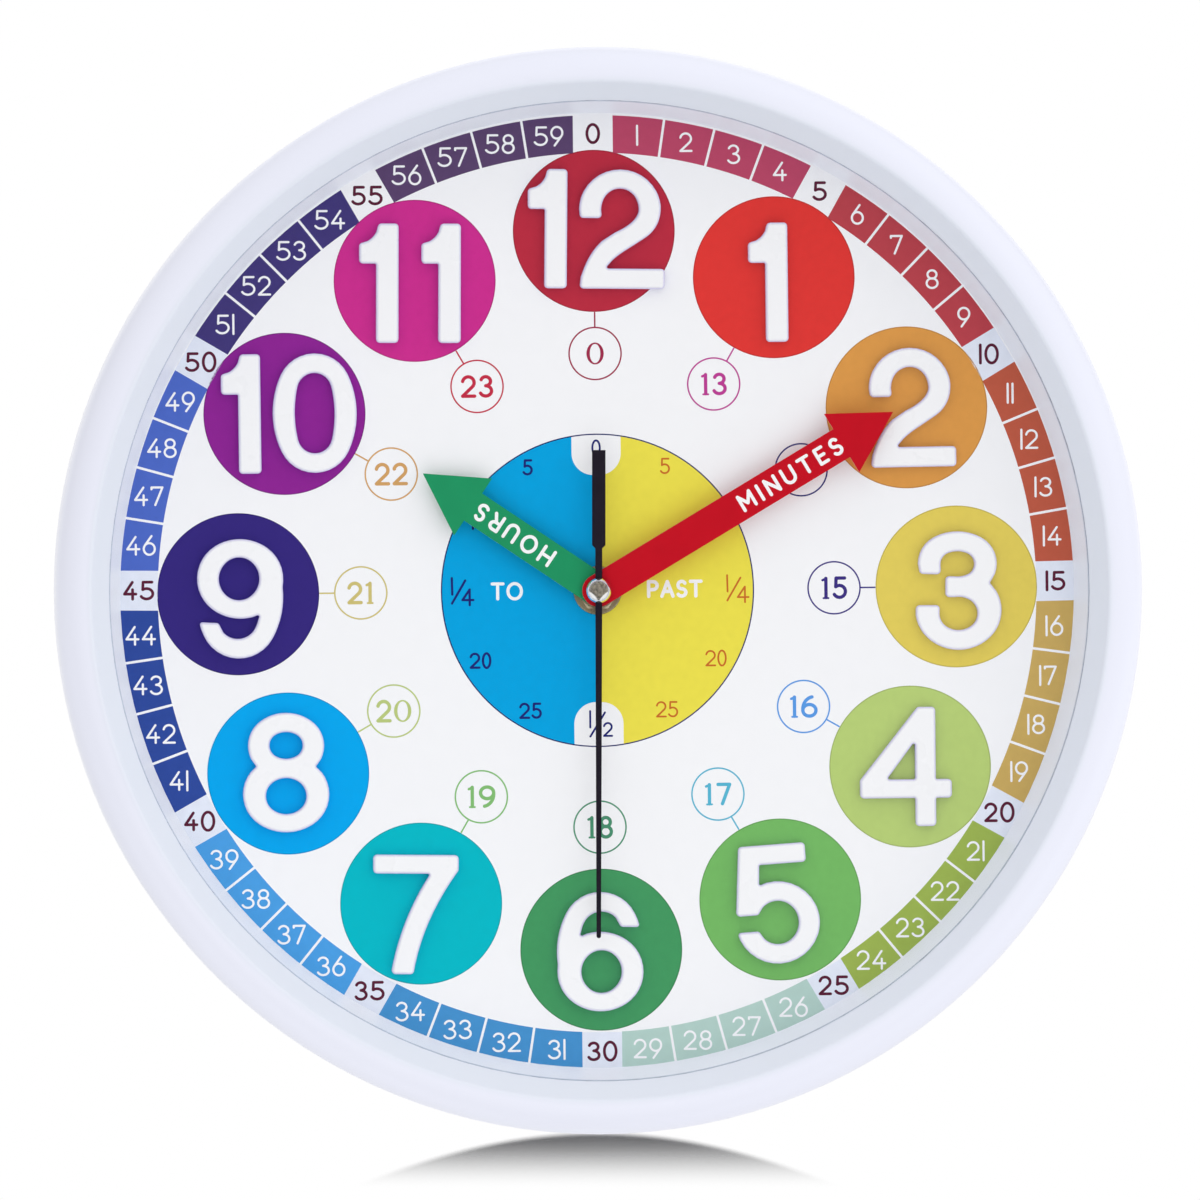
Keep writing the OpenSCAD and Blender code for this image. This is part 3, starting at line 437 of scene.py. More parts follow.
# Share of the width that each sign has on the track
TRACK_WIDTHS = {"0": 1, "1": 1, "2": 1.02, "3": 1.08, "4": 1.03,
                "5": 1.2, "6": 0.95, "7": 1.04, "8": 1.09, "9": 0.95}
TRACK_DIGITS = {sign: widened(DIGITS[sign], share) for sign, share in TRACK_WIDTHS.items()}
NARROW_ZERO = (0.52, [loop((0.26, 0.5), 0.26, 0.52)])
LABEL_DIGITS = {**DIGITS, "0": NARROW_ZERO, "1": (0.02, [line((0.01, 0), (0.01, 1))])}
CURVED_SIX = (0.68, [loop((0.34, 0.3), 0.34, 0.3), line(*arc((0.58, 0.36), 0.58, 0.64, 100, 186))])
RING_DIGITS = {
    **DIGITS,
    "0": (0.72, [loop((0.36, 0.5), 0.36, 0.53, 0.45)]),
    "1": (0.3, [line((0.17, 0), (0.17, 0.99)), line((0, 0.9), (0.17, 0.97), weight=0.75),
                line((0.04, -0.03), (0.3, -0.03), weight=0.55)]),
    "4": (0.68, [line((0.46, 1), (0, 0.3)), line((0, 0.3), (0.68, 0.3)), line((0.46, 1), (0.46, 0))]),
    "6": CURVED_SIX,
    "7": (0.62, [line((0.02, 1), (0.62, 1)), line((0.62, 1), (0.24, 0))]),
    "9": turned(CURVED_SIX),
}
LETTERS = {
    "A": (0.76, [line((0, 0), (0.38, 1)), line((0.38, 1), (0.76, 0)), line((0.14, 0.33), (0.62, 0.33))]),
    "E": (0.52, [line((0, 0), (0, 1)), line((0, 1), (0.52, 1)), line((0, 0.51), (0.47, 0.51)),
                 line((0, 0), (0.52, 0))]),
    "H": (0.72, [line((0, 0), (0, 1)), line((0.72, 0), (0.72, 1)), line((0, 0.51), (0.72, 0.51))]),
    "I": (0.02, [line((0.01, 0), (0.01, 1))]),
    "M": (0.84, [line((0, 0), (0, 1)), line((0, 1), (0.42, 0.34)), line((0.42, 0.34), (0.84, 1)),
                 line((0.84, 1), (0.84, 0))]),
    "N": (0.7, [line((0, 0), (0, 1)), line((0, 1), (0.7, 0)), line((0.7, 0), (0.7, 1))]),
    "O": (0.9, [loop((0.45, 0.5), 0.45, 0.51)]),
    "P": (0.58, [line((0, 0), (0, 1)), line((0, 1), *arc((0.31, 0.73), 0.27, 0.27, 90, -90), (0, 0.46))]),
    "R": (0.62, [line((0, 0), (0, 1)), line((0, 1), *arc((0.34, 0.755), 0.245, 0.245, 90, -90), (0, 0.51)),
                 line((0.3, 0.51), (0.62, 0))]),
    "S": (0.56, [line(*arc((0.28, 0.75), 0.25, 0.255, 30, 270)),
                 line(*arc((0.28, 0.245), 0.28, 0.25, 90, -150))]),
    "T": (0.72, [line((0, 1), (0.72, 1)), line((0.36, 1), (0.36, 0))]),
    "U": (0.7, [line((0, 1), *arc((0.35, 0.34), 0.35, 0.35, 180, 360), (0.7, 1))]),
}


def lettering(text, font, height, weight, gap, centre=(0, 0), turn=0.0):
    """Polygons of a line of signs, centred on a point and turned. Height counts the stroke."""
    size = height - weight
    signs = [font[sign] for sign in text]
    length = sum(width * size for width, _ in signs) + (weight + gap) * (len(signs) - 1)
    polygons = []
    left = -length / 2
    for width, strokes in signs:
        for path, closed, share in strokes:
            placed = [(left + x * size, (y - 0.5) * size) for x, y in path]
            widths = [weight * s for s in share] if isinstance(share, list) else weight * share
            polygons += [moved(p, centre, turn) for p in stroke(placed, widths, closed)]
        left += width * size + weight + gap
    return polygons


# Slabs: flat closed solids of ink or lettering

def holds(polygon, point):
    """Whether a polygon has a point inside it."""
    x, y = point
    inside = False
    for (x1, y1), (x2, y2) in zip(polygon, polygon[1:] + polygon[:1]):
        if (y1 > y) != (y2 > y) and x < x1 + (y - y1) * (x2 - x1) / (y2 - y1):
            inside = not inside
    return inside


def boxed(polygons):
    """Each polygon with its least and greatest coordinates, for a quick first test."""
    found = []
    for polygon in polygons:
        points = [(p[0], p[1]) for p in polygon]
        xs, ys = zip(*points)
        found.append((points, min(xs), max(xs), min(ys), max(ys)))
    return found


def covered(shapes, point):
    x, y = point
    return any(a <= x <= b and c <= y <= d and holds(shape, point) for shape, a, b, c, d in shapes)


def fill(add, cut=()):
    """Points and triangles that cover the polygons of add and leave out those of cut."""
    points, edges = [], []
    for polygon in [*add, *cut]:
        first, count = len(points), len(polygon)
        edges += [(first + i, first + (i + 1) % count) for i in range(count)]
        points += [Vector(p) for p in polygon]
    found = delaunay_2d_cdt(points, edges, [], 0, SNAP)
    solid, bare = boxed(add), boxed(cut)
    kept = []
    for face in found[2]:
        middle = sum((found[0][i] for i in face), Vector((0, 0))) / 3
        if covered(solid, middle) and not covered(bare, middle):
            kept.append(face)
    used = sorted({i for face in kept for i in face})
    place = {old: new for new, old in enumerate(used)}
    return [found[0][i] for i in used], [[place[i] for i in face] for face in kept]


def slab(name, material, body, rear, layer, add, cut=(), turn=0.0):
    """A flat piece standing on the plane y = rear, one layer of ink thick, above layer others."""
    points, faces = fill(add, cut)
    points = moved(points, (0, 0), turn)
    count = len(points)
    depths = [rear - INK * MM * (layer + 1), rear - INK * MM * layer]
    vertices = [(HUB.x + x * MM, y, HUB.z + z * MM) for y in depths for x, z in points]
    edges = {(face[i - 1], face[i]) for face in faces for i in range(3)}
    outline = [(a, b) for a, b in edges if (b, a) not in edges]
    closed = [list(face) for face in faces]
    closed += [[i + count for i in reversed(face)] for face in faces]
    closed += [[b, a, a + count, b + count] for a, b in sorted(outline)]
    mesh = bpy.data.meshes.new(name)
    mesh.from_pydata(vertices, [], closed)
    mesh.materials.append(material)
    piece = bpy.data.objects.new(name, mesh)
    bpy.context.scene.collection.objects.link(piece)
    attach(piece, body)
    return piece


def printed(name, colour, add, cut=(), layer=0):
    """Ink on the dial sheet. It tints nothing around it."""
    material = ink(name + "_ink", colour)
    piece = slab(name, material, "root", DIAL_FRONT, layer, add, cut, PRINT_TURN)
    piece.visible_diffuse = False


# Minute track: twelve coloured groups of four cells, with the fives between them on bare paper, most of them
# under a cell of painted shade

HOUR_TURN = 30
TRACK_IN = 121.6
TRACK_OUT = 132.0
TRACK_MID = 126.9
# The track stands a little low on the sheet, and its spokes meet a little above its middle
TRACK_DROP = 0.6
TRACK_LEAN = 0.85
TRACK_STEPS = 24
FIVE_HALF = 5.5
# The fives that stand on a cell of painted shade, by their hour
SHADED_FIVES = range(2, 11)
CELL_TURN = 6.25
CELL_LINE = 0.68
SPOKE_OVER = 1.0
DIGIT_H = 5.45
DIGIT_LINE = 0.6
FIVE_LINE = 0.8
DIGIT_GAP = 0.65


def bar(start, end, width):
    """Outline of a straight bar between two points."""
    start, end = Vector(start), Vector(end)
    aside = (end - start).orthogonal().normalized() * width / 2
    return [start + aside, start - aside, end - aside, end + aside]


def leaned(angle):
    """A clock angle on the track."""
    return angle - TRACK_LEAN * math.sin(math.radians(angle))


def track_point(radius, angle):
    x, y = clock_point(radius, leaned(angle))
    return (x, y - TRACK_DROP)


def minute_track():
    middle = (0, -TRACK_DROP)
    for group, colour in enumerate(TRACK_COLOURS):
        start = HOUR_TURN * group
        middle_turn = start + HOUR_TURN / 2
        first, last = 90 - leaned(start), 90 - leaned(start + HOUR_TURN)
        gap_out, gap_in = [math.degrees(math.asin(FIVE_HALF / r)) for r in (TRACK_OUT, TRACK_IN)]
        outer = arc(middle, TRACK_OUT, TRACK_OUT, first - gap_out, last + gap_out, TRACK_STEPS)
        inner = arc(middle, TRACK_IN, TRACK_IN, last + gap_in, first - gap_in, TRACK_STEPS)
        cut = []
        for cell in range(4):
            spot = track_point(TRACK_MID, middle_turn + (cell - 1.5) * CELL_TURN)
            number = str(5 * group + cell + 1)
            cut += lettering(number, TRACK_DIGITS, DIGIT_H, DIGIT_LINE, DIGIT_GAP, spot)
        for edge in (-1, 0, 1):
            ends = (TRACK_IN - SPOKE_OVER, TRACK_OUT + SPOKE_OVER)
            spoke = [track_point(r, middle_turn + edge * CELL_TURN) for r in ends]
            cut += stroke(spoke, CELL_LINE)
        printed(f"track_{5 * group + 1:02d}_to_{5 * group + 4:02d}", colour, [outer + inner], cut)
    fives = []
    cells = []
    for hour in range(12):
        spot = track_point(TRACK_MID, HOUR_TURN * hour)
        fives += lettering(str(5 * hour), TRACK_DIGITS, DIGIT_H, FIVE_LINE, DIGIT_GAP, spot)
        if hour in SHADED_FIVES:
            ends = [track_point(r, HOUR_TURN * hour) for r in (TRACK_IN, TRACK_OUT)]
            cells.append(bar(*ends, 2 * FIVE_HALF))
    # The whitish cells under most fives are painted shade
    printed("track_five_shade_cells", SHADED_CELL_COLOUR, cells)
    printed("track_fives", PLUM, fives, layer=1)


# Hour discs with a darker edge, and the thin rings of the afternoon hours inside them

DISC_RING = 99.4
DISC_R = 22.4
DISC_EDGE = 0.3
EDGE_SHADE = 0.86
RING_RING = 65.5
RING_R = 7.2
RING_LINE = 0.42
RING_H = 6.3
RING_DIGIT_LINE = 0.95
RING_DIGIT_GAP = 0.65


def shaded(colour, share):
    """A colour written as RRGGBB, with each part times a share."""
    return "".join(f"{round(int(colour[i:i + 2], 16) * share):02X}" for i in (0, 2, 4))


def hour_marks():
    for hour in range(1, 13):
        angle = HOUR_TURN * hour
        disc = clock_point(DISC_RING, angle)
        inside = circle(disc, DISC_R - DISC_EDGE)
        printed(f"disc_{hour}", DISC_COLOURS[hour], [inside])
        printed(f"disc_edge_{hour}", shaded(DISC_COLOURS[hour], EDGE_SHADE), [circle(disc, DISC_R)], [inside])
        ring = clock_point(RING_RING, angle)
        shape = stroke(circle(ring, RING_R), RING_LINE, True)
        ends = [clock_point(r, angle) for r in (RING_RING + RING_R, DISC_RING - DISC_R - RING_LINE / 2)]
        shape += stroke(ends, RING_LINE)
        number = str(hour + 12) if hour < 12 else "0"
        shape += lettering(number, RING_DIGITS, RING_H, RING_DIGIT_LINE, RING_DIGIT_GAP, ring)
        printed(f"afternoon_ring_{int(number):02d}", RING_COLOURS[hour % 12], shape)


# Centre disc: TO on blue, PAST on yellow, with white tabs at the top and bottom

CENTRE_R = 43.0
CENTRE_LINE = 0.35
CENTRE_EDGE_SHADE = 0.9
CENTRE_STEPS = 72
EDGE_STEPS = 128
TAB_HALF = 6.8
TAB_ROUND = 6.0
TOP_TAB = 31.9
LOW_TAB = 30.9
TAB_OVER = 2.0
TAB_LINE = 0.55
ZERO_SPOT = (0, 39.4)
HALF_SPOT = (0, -36.4)
LABEL_H = 4.5
LABEL_GAP = 0.35
LABEL_SPOTS = {"5": (19.0, 34.2), "10": (32.8, 19.3), "20": (32.6, -19.1), "25": (18.9, -33.1)}
# The labels of each half: its side, its ink and the weight of its strokes
LABELS = {"to": (-1, NAVY, 0.65), "past": (1, BROWN, 0.5)}
QUARTER_X = 38.1
QUARTER_Y = -0.3
QUARTER_LINES = [
    [(-2.2, 4.1), (-2.1, -0.4)], [(1.5, 3.4), (-2.2, -2.9)], [(2.7, 0.9), (0.7, -2.0)],
    [(0.7, -2.0), (3.7, -2.0)], [(2.7, 0.9), (2.7, -3.4)],
]
HALF_LINES = [[(-2.4, 3.0), (-2.4, -1.5)], [(1.7, 2.6), (-2.4, -4.0)]]
HALF_TWO_H = 4.1
HALF_TWO_SPOT = (2.5, -2.1)
WORD_H = 5.0
# The two words: weight, gap and place
TO_WORD = (0.85, 0.5, (-25.1, 0))
PAST_WORD = (0.95, 0.35, (21.4, 0.2))


def tab(inner, way):
    """Outline of a white tab from its rounded inner end to past the edge of the centre disc."""
    out = CENTRE_R + TAB_OVER
    side = TAB_HALF - TAB_ROUND
    low = inner + TAB_ROUND
    shape = [(TAB_HALF, out)]
    shape += arc((side, low), TAB_ROUND, TAB_ROUND, 0, -90)
    shape += arc((-side, low), TAB_ROUND, TAB_ROUND, 270, 180)
    shape.append((-TAB_HALF, out))
    return [(x, way * y) for x, y in shape]


def strokes_of(lines, weight):
    """Polygons of several strokes of one weight."""
    return [polygon for path in lines for polygon in stroke(path, weight)]


def centre_disc():
    tabs = [tab(TOP_TAB, 1), tab(LOW_TAB, -1)]
    left = arc((0, 0), CENTRE_R, CENTRE_R, 90, 270, CENTRE_STEPS)
    right = arc((0, 0), CENTRE_R, CENTRE_R, -90, 90, CENTRE_STEPS)
    printed("centre_to", BLUE, [left], tabs + lettering("TO", LETTERS, WORD_H, *TO_WORD))
    printed("centre_past", YELLOW, [right], tabs + lettering("PAST", LETTERS, WORD_H, *PAST_WORD))
    edge = stroke(circle((0, 0), CENTRE_R + CENTRE_LINE / 2, EDGE_STEPS), CENTRE_LINE, True)
    printed("centre_edge", shaded(NAVY, CENTRE_EDGE_SHADE), edge)
    for name, (side, colour, weight) in LABELS.items():
        labels = []
        for text, (x, y) in LABEL_SPOTS.items():
            labels += lettering(text, LABEL_DIGITS, LABEL_H, weight, LABEL_GAP, (side * x, y))
        labels += [moved(p, (side * QUARTER_X, QUARTER_Y)) for p in strokes_of(QUARTER_LINES, weight)]
        printed(f"labels_{name}", colour, labels, layer=1)
    half = strokes_of(HALF_LINES, TAB_LINE) + lettering("2", DIGITS, HALF_TWO_H, TAB_LINE, 0, HALF_TWO_SPOT)
    tabs_text = lettering("0", LABEL_DIGITS, LABEL_H, TAB_LINE, 0, ZERO_SPOT)
    tabs_text += [moved(p, HALF_SPOT) for p in half]
    printed("labels_tabs", NAVY, tabs_text)


# Words on the hands

# For each hand: its word, how far out the word stands, its height, its weight and the gap between its letters
HAND_WORDS = {"hour": ("HOURS", 27.8, 5.2, 0.92, 1.4), "minute": ("MINUTES", 62.0, 5.15, 0.92, 1.5)}


def hand_words():
    white = finish("legend_white", "F4F5F8", rough=0.4, mottle=0.02, mottle_mm=1.5, grain=0.05, grain_mm=0.3)
    for body, (word, reach, height, weight, gap) in HAND_WORDS.items():
        hand = nodes[f"{body}_hand"]
        tip = max((v.co for v in hand.data.vertices), key=lambda p: math.hypot(p.x - HUB.x, p.z - HUB.z))
        turn = math.atan2(tip.z - HUB.z, tip.x - HUB.x)
        centre = (reach * math.cos(turn), reach * math.sin(turn))
        shape = lettering(word, LETTERS, height, weight, gap, centre, turn)
        slab(f"{body}_hand_word", white, body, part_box(f"{body}_hand")[0].y, 0, shape)


minute_track()
hour_marks()
centre_disc()
hand_words()


# Raised numerals: the outlines of their nodes, with rounded corners and bevelled front edges

NUMERALS = [f"numeral_{hour}" for hour in range(1, 13)]
# A smaller turn is a straight run, and one from CORNER_TURN on is a corner
STRAIGHT_TURN = 1e-3
CORNER_TURN = math.radians(20)
TINY_STEP = 0.25
CORNER_ROOM = 2.2
CORNER_OUT = 1.1
CORNER_IN = 0.4
CORNER_STEPS = 5
# Most of an edge that the rounding of one of its corners takes up
EDGE_SHARE = 0.45
# The bevel is at most this share of a corner's radius wide, and widens by BEVEL_TAPER with the distance
INSET_SHARE = 0.85
BEVEL_TAPER = 0.5
SHARPEST = -0.5
SHARP_TURN = math.radians(40)
FRONT_FACING = -0.9
# Profile of the bevelled front edge: how far in from the outline, and how far behind the front
EDGE_PROFILE = [(0, 0.85), (0.05, 0.64), (0.2, 0.38), (0.54, 0.1), (0.7, 0.025), (0.8, 0)]


def node_loops(name):
    """Outlines of the front of a node, in millimetres from the hub, with its material on their left."""
    mesh = nodes[name].data
    front = min(v.co.y for v in mesh.vertices)
    spots = [(round((v.co.x - HUB.x) / MM, 3), round((v.co.z - HUB.z) / MM, 3)) for v in mesh.vertices]
    edges = set()
    for face in mesh.polygons:
        if face.normal.y < FRONT_FACING and abs(mesh.vertices[face.vertices[0]].co.y - front) < INK * MM:
            corners = [spots[i] for i in face.vertices]
            edges |= set(zip(corners, corners[1:] + corners[:1]))
    after = {a: b for a, b in edges if (b, a) not in edges}
    loops = []
    while after:
        start = min(after)
        path = [start]
        while after[path[-1]] != start:
            path.append(after.pop(path[-1]))
        after.pop(path[-1])
        loops.append([Vector(p) for p in path])
    return loops


def turn_at(path, i):
    """How far a closed path turns at a point. A clockwise turn is a positive one."""
    return (path[i] - path[i - 1]).angle_signed(path[(i + 1) % len(path)] - path[i])


def straightened(path):
    """A closed path without tiny steps, points in a straight run and points of curves near a corner."""
    spaced = [point for i, point in enumerate(path) if (point - path[i - 1]).length > TINY_STEP]
    bends = [point for i, point in enumerate(spaced) if abs(turn_at(spaced, i)) > STRAIGHT_TURN]
    corners = [i for i in range(len(bends)) if abs(turn_at(bends, i)) > CORNER_TURN]
    return [point for i, point in enumerate(bends)
            if i in corners or all((point - bends[c]).length > CORNER_ROOM for c in corners)]


def rounded(path):
    """A closed path with its sharp corners rounded. Each point comes with how far in it may move."""
    smooth = []
    for i, point in enumerate(path):
        before, after = path[i - 1] - point, path[(i + 1) % len(path)] - point
        turn = turn_at(path, i)
        if abs(turn) < CORNER_TURN:
            smooth.append((point, CORNER_OUT))
            continue
        # Outer corners turn counter-clockwise
        slope = math.tan(abs(turn) / 2)
        widest = (CORNER_OUT if turn < 0 else CORNER_IN) * slope
        cut = min(widest, EDGE_SHARE * before.length, EDGE_SHARE * after.length)
        radius = cut / slope
        start = point + before.normalized() * cut
        inward = (before.normalized() + after.normalized()).normalized()
        centre = point + inward * math.hypot(radius, cut)
        for step in range(CORNER_STEPS + 1):
            spot = moved([start - centre], centre, -turn * step / CORNER_STEPS)[0]
            smooth.append((Vector(spot), INSET_SHARE * radius if turn < 0 else CORNER_OUT))
    return [(point, min(limit + BEVEL_TAPER * (point - other).length for other, limit in smooth))
            for point, _ in smooth]


def inset(path, depth):
    """Points of a closed path moved to its left, each as far as it may."""
    found = []
    for i, (point, limit) in enumerate(path):
        first = (point - path[i - 1][0]).normalized()
        second = (path[(i + 1) % len(path)][0] - point).normalized()
        left = Vector((-first.y - second.y, first.x + second.x))
        found.append(point + left * min(depth, limit) / (1 + max(SHARPEST, first.dot(second))))
    return found


def area(path):
    """Area inside a closed path, negative where it runs clockwise."""
    return sum(a.cross(b) for a, b in zip(path, path[1:] + path[:1])) / 2


def raised(name, material):
    """A numeral with rounded corners and a bevelled front edge, in place of its node."""
    paths = [rounded(straightened(path)) for path in node_loops(name)]
    low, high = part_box(name)
    layers = [(0, high.y)] + [(depth, low.y + behind * MM) for depth, behind in EDGE_PROFILE]
    made = bmesh.new()
    for path in paths:
        rows = []
        for depth, y in layers:
            row = inset(path, depth)
            rows.append([made.verts.new((HUB.x + p.x * MM, y, HUB.z + p.y * MM)) for p in row])
        for rear, front in zip(rows, rows[1:]):
            for i in range(len(path)):
                made.faces.new((rear[i - 1], rear[i], front[i], front[i - 1]))
    for depth, y in (layers[0], layers[-1]):
        ends = [inset(path, depth) for path in paths]
        points, faces = fill([p for p in ends if area(p) > 0], [p for p in ends if area(p) < 0])
        corners = [made.verts.new((HUB.x + x * MM, y, HUB.z + z * MM)) for x, z in points]
        for face in faces:
            made.faces.new([corners[i] for i in face])
    bmesh.ops.remove_doubles(made, verts=made.verts, dist=SNAP * MM * 2)
    bmesh.ops.recalc_face_normals(made, faces=made.faces)
    mesh = bpy.data.meshes.new(name + "_rounded")
    made.to_mesh(mesh)
    made.free()
    mesh.polygons.foreach_set("use_smooth", [True] * len(mesh.polygons))
    mesh.set_sharp_from_angle(angle=SHARP_TURN)
    mesh.materials.append(material)
    piece = bpy.data.objects.new(name + "_rounded", mesh)
    bpy.context.scene.collection.objects.link(piece)
    level = piece.modifiers.new("level", "WEIGHTED_NORMAL")
    level.keep_sharp = True
    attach(piece, "root")
    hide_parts(name)


# The lilac on the sides and rounded edges of the numerals is painted shade
numeral_white = finish("numeral_white", "F4F5F9", 0.28, mottle=0.004, mottle_mm=20, grain=0.01, grain_mm=0.8,
                       wear=0.015, second=("CFCBEC", painted_bevel_shade))
for numeral in NUMERALS:
    raised(numeral, numeral_white)


# Finish of the carried-over nodes

# Points closer than this are one, and faces that differ by less than FLAT_TURN are one face
WELD = 0.002
FLAT_TURN = math.radians(1)
SQUARE_TURN = math.radians(70)
ROUND_STEPS = 3


def dress(material, *names):
    """Gives nodes their finish."""
    for name in names:
        nodes[name].data.materials.clear()
        nodes[name].data.materials.append(material)


def soften(name, width_mm):
    """Rounds the square edges of a node."""
    weld = nodes[name].modifiers.new("weld", "WELD")
    weld.merge_threshold = WELD * MM
    flat = nodes[name].modifiers.new("flat", "DECIMATE")
    flat.decimate_type = "DISSOLVE"
    flat.angle_limit = FLAT_TURN
    round_off = nodes[name].modifiers.new("round", "BEVEL")
    round_off.width = width_mm * MM
    round_off.segments = ROUND_STEPS
    round_off.limit_method = "ANGLE"
    round_off.angle_limit = SQUARE_TURN
    round_off.use_clamp_overlap = False
    round_off.harden_normals = True


# The greyer second colour on the slope inside the crest is painted shade
dress(finish("case_white", "E9EBF8", 0.3, mottle=0.002, mottle_mm=60, grain=0.02, grain_mm=1.2, wear=0.01,
             second=("E0E5F0", painted_slope_shade)), "case_frame")
dress(clear_lens("lens_clear"), "lens")
dress(finish("spacer_white", "EEF2FC", 0.45, mottle=0.012, mottle_mm=30, grain=0.04), "spacer_ring")
dress(finish("print_paper", PAPER, 0.5, mottle=0.008, mottle_mm=3, grain=0.05, grain_mm=0.4, gloss=0.15),
      "dial_print")
dress(finish("plate_white", "E6E4DC", 0.6, mottle=0.02), "dial_plate")
dress(numeral_white, *NUMERALS)
# The light grey on the cut sides of the hands is a painted highlight along their edges
dress(finish("hand_green", "1F9160", 0.42, mottle=0.03, mottle_mm=5, grain=0.06, grain_mm=0.3, gloss=0.06,
             second=("D8D8DC", painted_side_highlight)), "hour_hand")
dress(finish("hand_red", "C00C20", 0.42, mottle=0.03, mottle_mm=5, grain=0.06, grain_mm=0.3, gloss=0.06,
             second=("D8D8DC", painted_side_highlight)), "minute_hand")
dress(finish("hand_black", "211C28", 0.45, mottle=0.06, mottle_mm=4, grain=0.06, grain_mm=0.3, gloss=0.06),
      "second_hand")
dress(finish("brass", "EBE0C4", 0.3, metal=1, mottle=0.05, mottle_mm=2, grain=0.05, grain_mm=0.2, wear=0.04),
      "brass_washer", "hex_nut", "threaded_bush", "hour_hand_collet", "minute_hand_collet")
dress(finish("cap_chrome", "F0F0F0", 0.07, metal=1, mottle=0.02, mottle_mm=2, grain=0.02, wear=0.02),
      "second_hand_cap")
dress(finish("screw_steel", "B4B6BA", 0.35, metal=1, mottle=0.06, mottle_mm=1, grain=0.05, grain_mm=0.2),
      "cover_screws")
dress(finish("rubber_black", "1C1C1E", 0.8, mottle=0.1, mottle_mm=2), "rubber_washer")
dress(finish("cover_white", "E2E4E6", 0.5, mottle=0.015, mottle_mm=30, grain=0.12, grain_mm=0.7),
      "back_cover")
dress(finish("movement_black", "232326", 0.55, mottle=0.08, mottle_mm=6, grain=0.25, grain_mm=0.5),
      "movement_case", "movement_cover")
dress(finish("plate_tan", "9C8460", 0.5, mottle=0.03), "train_plate")
dress(finish("gear_white", "EAEAE4", 0.4, mottle=0.015, mottle_mm=5),
      "hour_wheel", "centre_wheel", "second_wheel", "rotor", "coil_bobbin")
dress(finish("gear_ivory", "DCD0AE", 0.4, mottle=0.02, mottle_mm=5),
      "minute_wheel", "third_wheel", "fifth_wheel")
dress(finish("knob_white", "E0E0DA", 0.4, mottle=0.02, mottle_mm=5, grain=0.08), "set_knob")
dress(finish("arbor_steel", "B8BABC", 0.25, metal=1, mottle=0.04, mottle_mm=1), "minute_arbor")
dress(finish("magnet_grey", "4A4A4E", 0.5, metal=0.6, mottle=0.08, mottle_mm=1), "rotor_magnet")
dress(finish("stator_steel", "A4A8AE", 0.35, metal=1, mottle=0.05, mottle_mm=3), "stator", "coil_core")
dress(finish("winding_copper", "B4622E", 0.35, metal=1, mottle=0.12, mottle_mm=0.6, grain=0.5, grain_mm=0.2,
             stretch=(6, 1, 1)), "coil_winding")
dress(finish("board_green", "14562E", 0.35, mottle=0.1, mottle_mm=2), "circuit_board")
dress(finish("crystal_steel", "C4C4C6", 0.25, metal=1, mottle=0.03, mottle_mm=1), "quartz_crystal")
dress(finish("chip_black", "121214", 0.3, mottle=0.1, mottle_mm=1), "timing_chip")
dress(finish("contact_steel", "BAB8B0", 0.3, metal=1, mottle=0.06, mottle_mm=2),
      "contact_positive", "contact_negative")
dress(finish("battery_sleeve", "2A2C34", 0.35, mottle=0.05, mottle_mm=6, coat=0.3,
             second=("C4C4C8", battery_ends)), "battery")
soften("brass_washer", 0.36)
soften("hex_nut", 0.7)


# Stage: a floor that shows only a painted shadow, soft light, and a camera a little left of and above the
# clock's axis

FLOOR_Z = cad_box[0].z
FLOOR_HALF = 4.0
# Colour of the painted shadow on the floor
FLOOR_SHADOW_GREY = (0.17, 0.17, 0.173, 1)
# The floor is a painted shadow of dark grey in front of the clock, and is clear beyond. The rear edge of the
# shadow bends away from the clock by this much at each metre aside, squared.
SHADOW_BEND = 93.0
SHADOW_NEAR = 0.035
SHADOW_FAR = 0.38
# The painted shadow reaches forward and a little to the left
SHADOW_TURN = math.radians(-2.5)


def floor_material():
    """A painted shadow: dark grey floor in front of the clock that fades out into the white background."""
    material, made, out = tree("floor_painted_shadow")
    new, links = made.nodes, made.links
    shadow_grey = new.new("ShaderNodeBsdfDiffuse")
    shadow_grey.inputs["Color"].default_value = FLOOR_SHADOW_GREY
    clear = new.new("ShaderNodeBsdfTransparent")
    place = new.new("ShaderNodeTexCoord")
    way = new.new("ShaderNodeSeparateXYZ")
    mix = new.new("ShaderNodeMixShader")
    links.new(place.outputs["Object"], way.inputs["Vector"])
    ahead = sums(new, links, "MULTIPLY", way.outputs["Y"], -1)
    bent = sums(new, links, "MULTIPLY", sums(new, links, "POWER", way.outputs["X"], 2), SHADOW_BEND)
    past = sums(new, links, "SUBTRACT", ahead, bent)
    edge = remap(new, links, past, -SHADOW_NEAR / 2, SHADOW_NEAR, 0, 1, True)
    fade = remap(new, links, ahead, SHADOW_NEAR, SHADOW_FAR, 1, 0, True)
    links.new(sums(new, links, "MULTIPLY", edge, fade), mix.inputs["Fac"])
    links.new(clear.outputs["BSDF"], mix.inputs[1])
    links.new(shadow_grey.outputs["BSDF"], mix.inputs[2])
    links.new(mix.outputs["Shader"], out.inputs["Surface"])
    return material


def floor():
    corners = [(x * FLOOR_HALF, y * FLOOR_HALF, 0) for x, y in ((-1, -1), (1, -1), (1, 1), (-1, 1))]
    mesh = bpy.data.meshes.new("floor")
    mesh.from_pydata(corners, [], [(0, 1, 2, 3)])
    mesh.materials.append(floor_material())
    plane = bpy.data.objects.new("floor", mesh)
    plane.location = (0, (cad_box[0].y + cad_box[1].y) / 2, FLOOR_Z)
    plane.rotation_euler.z = SHADOW_TURN
    bpy.context.scene.collection.objects.link(plane)
    plane.visible_diffuse = False
    plane.visible_glossy = False
    plane.visible_shadow = False


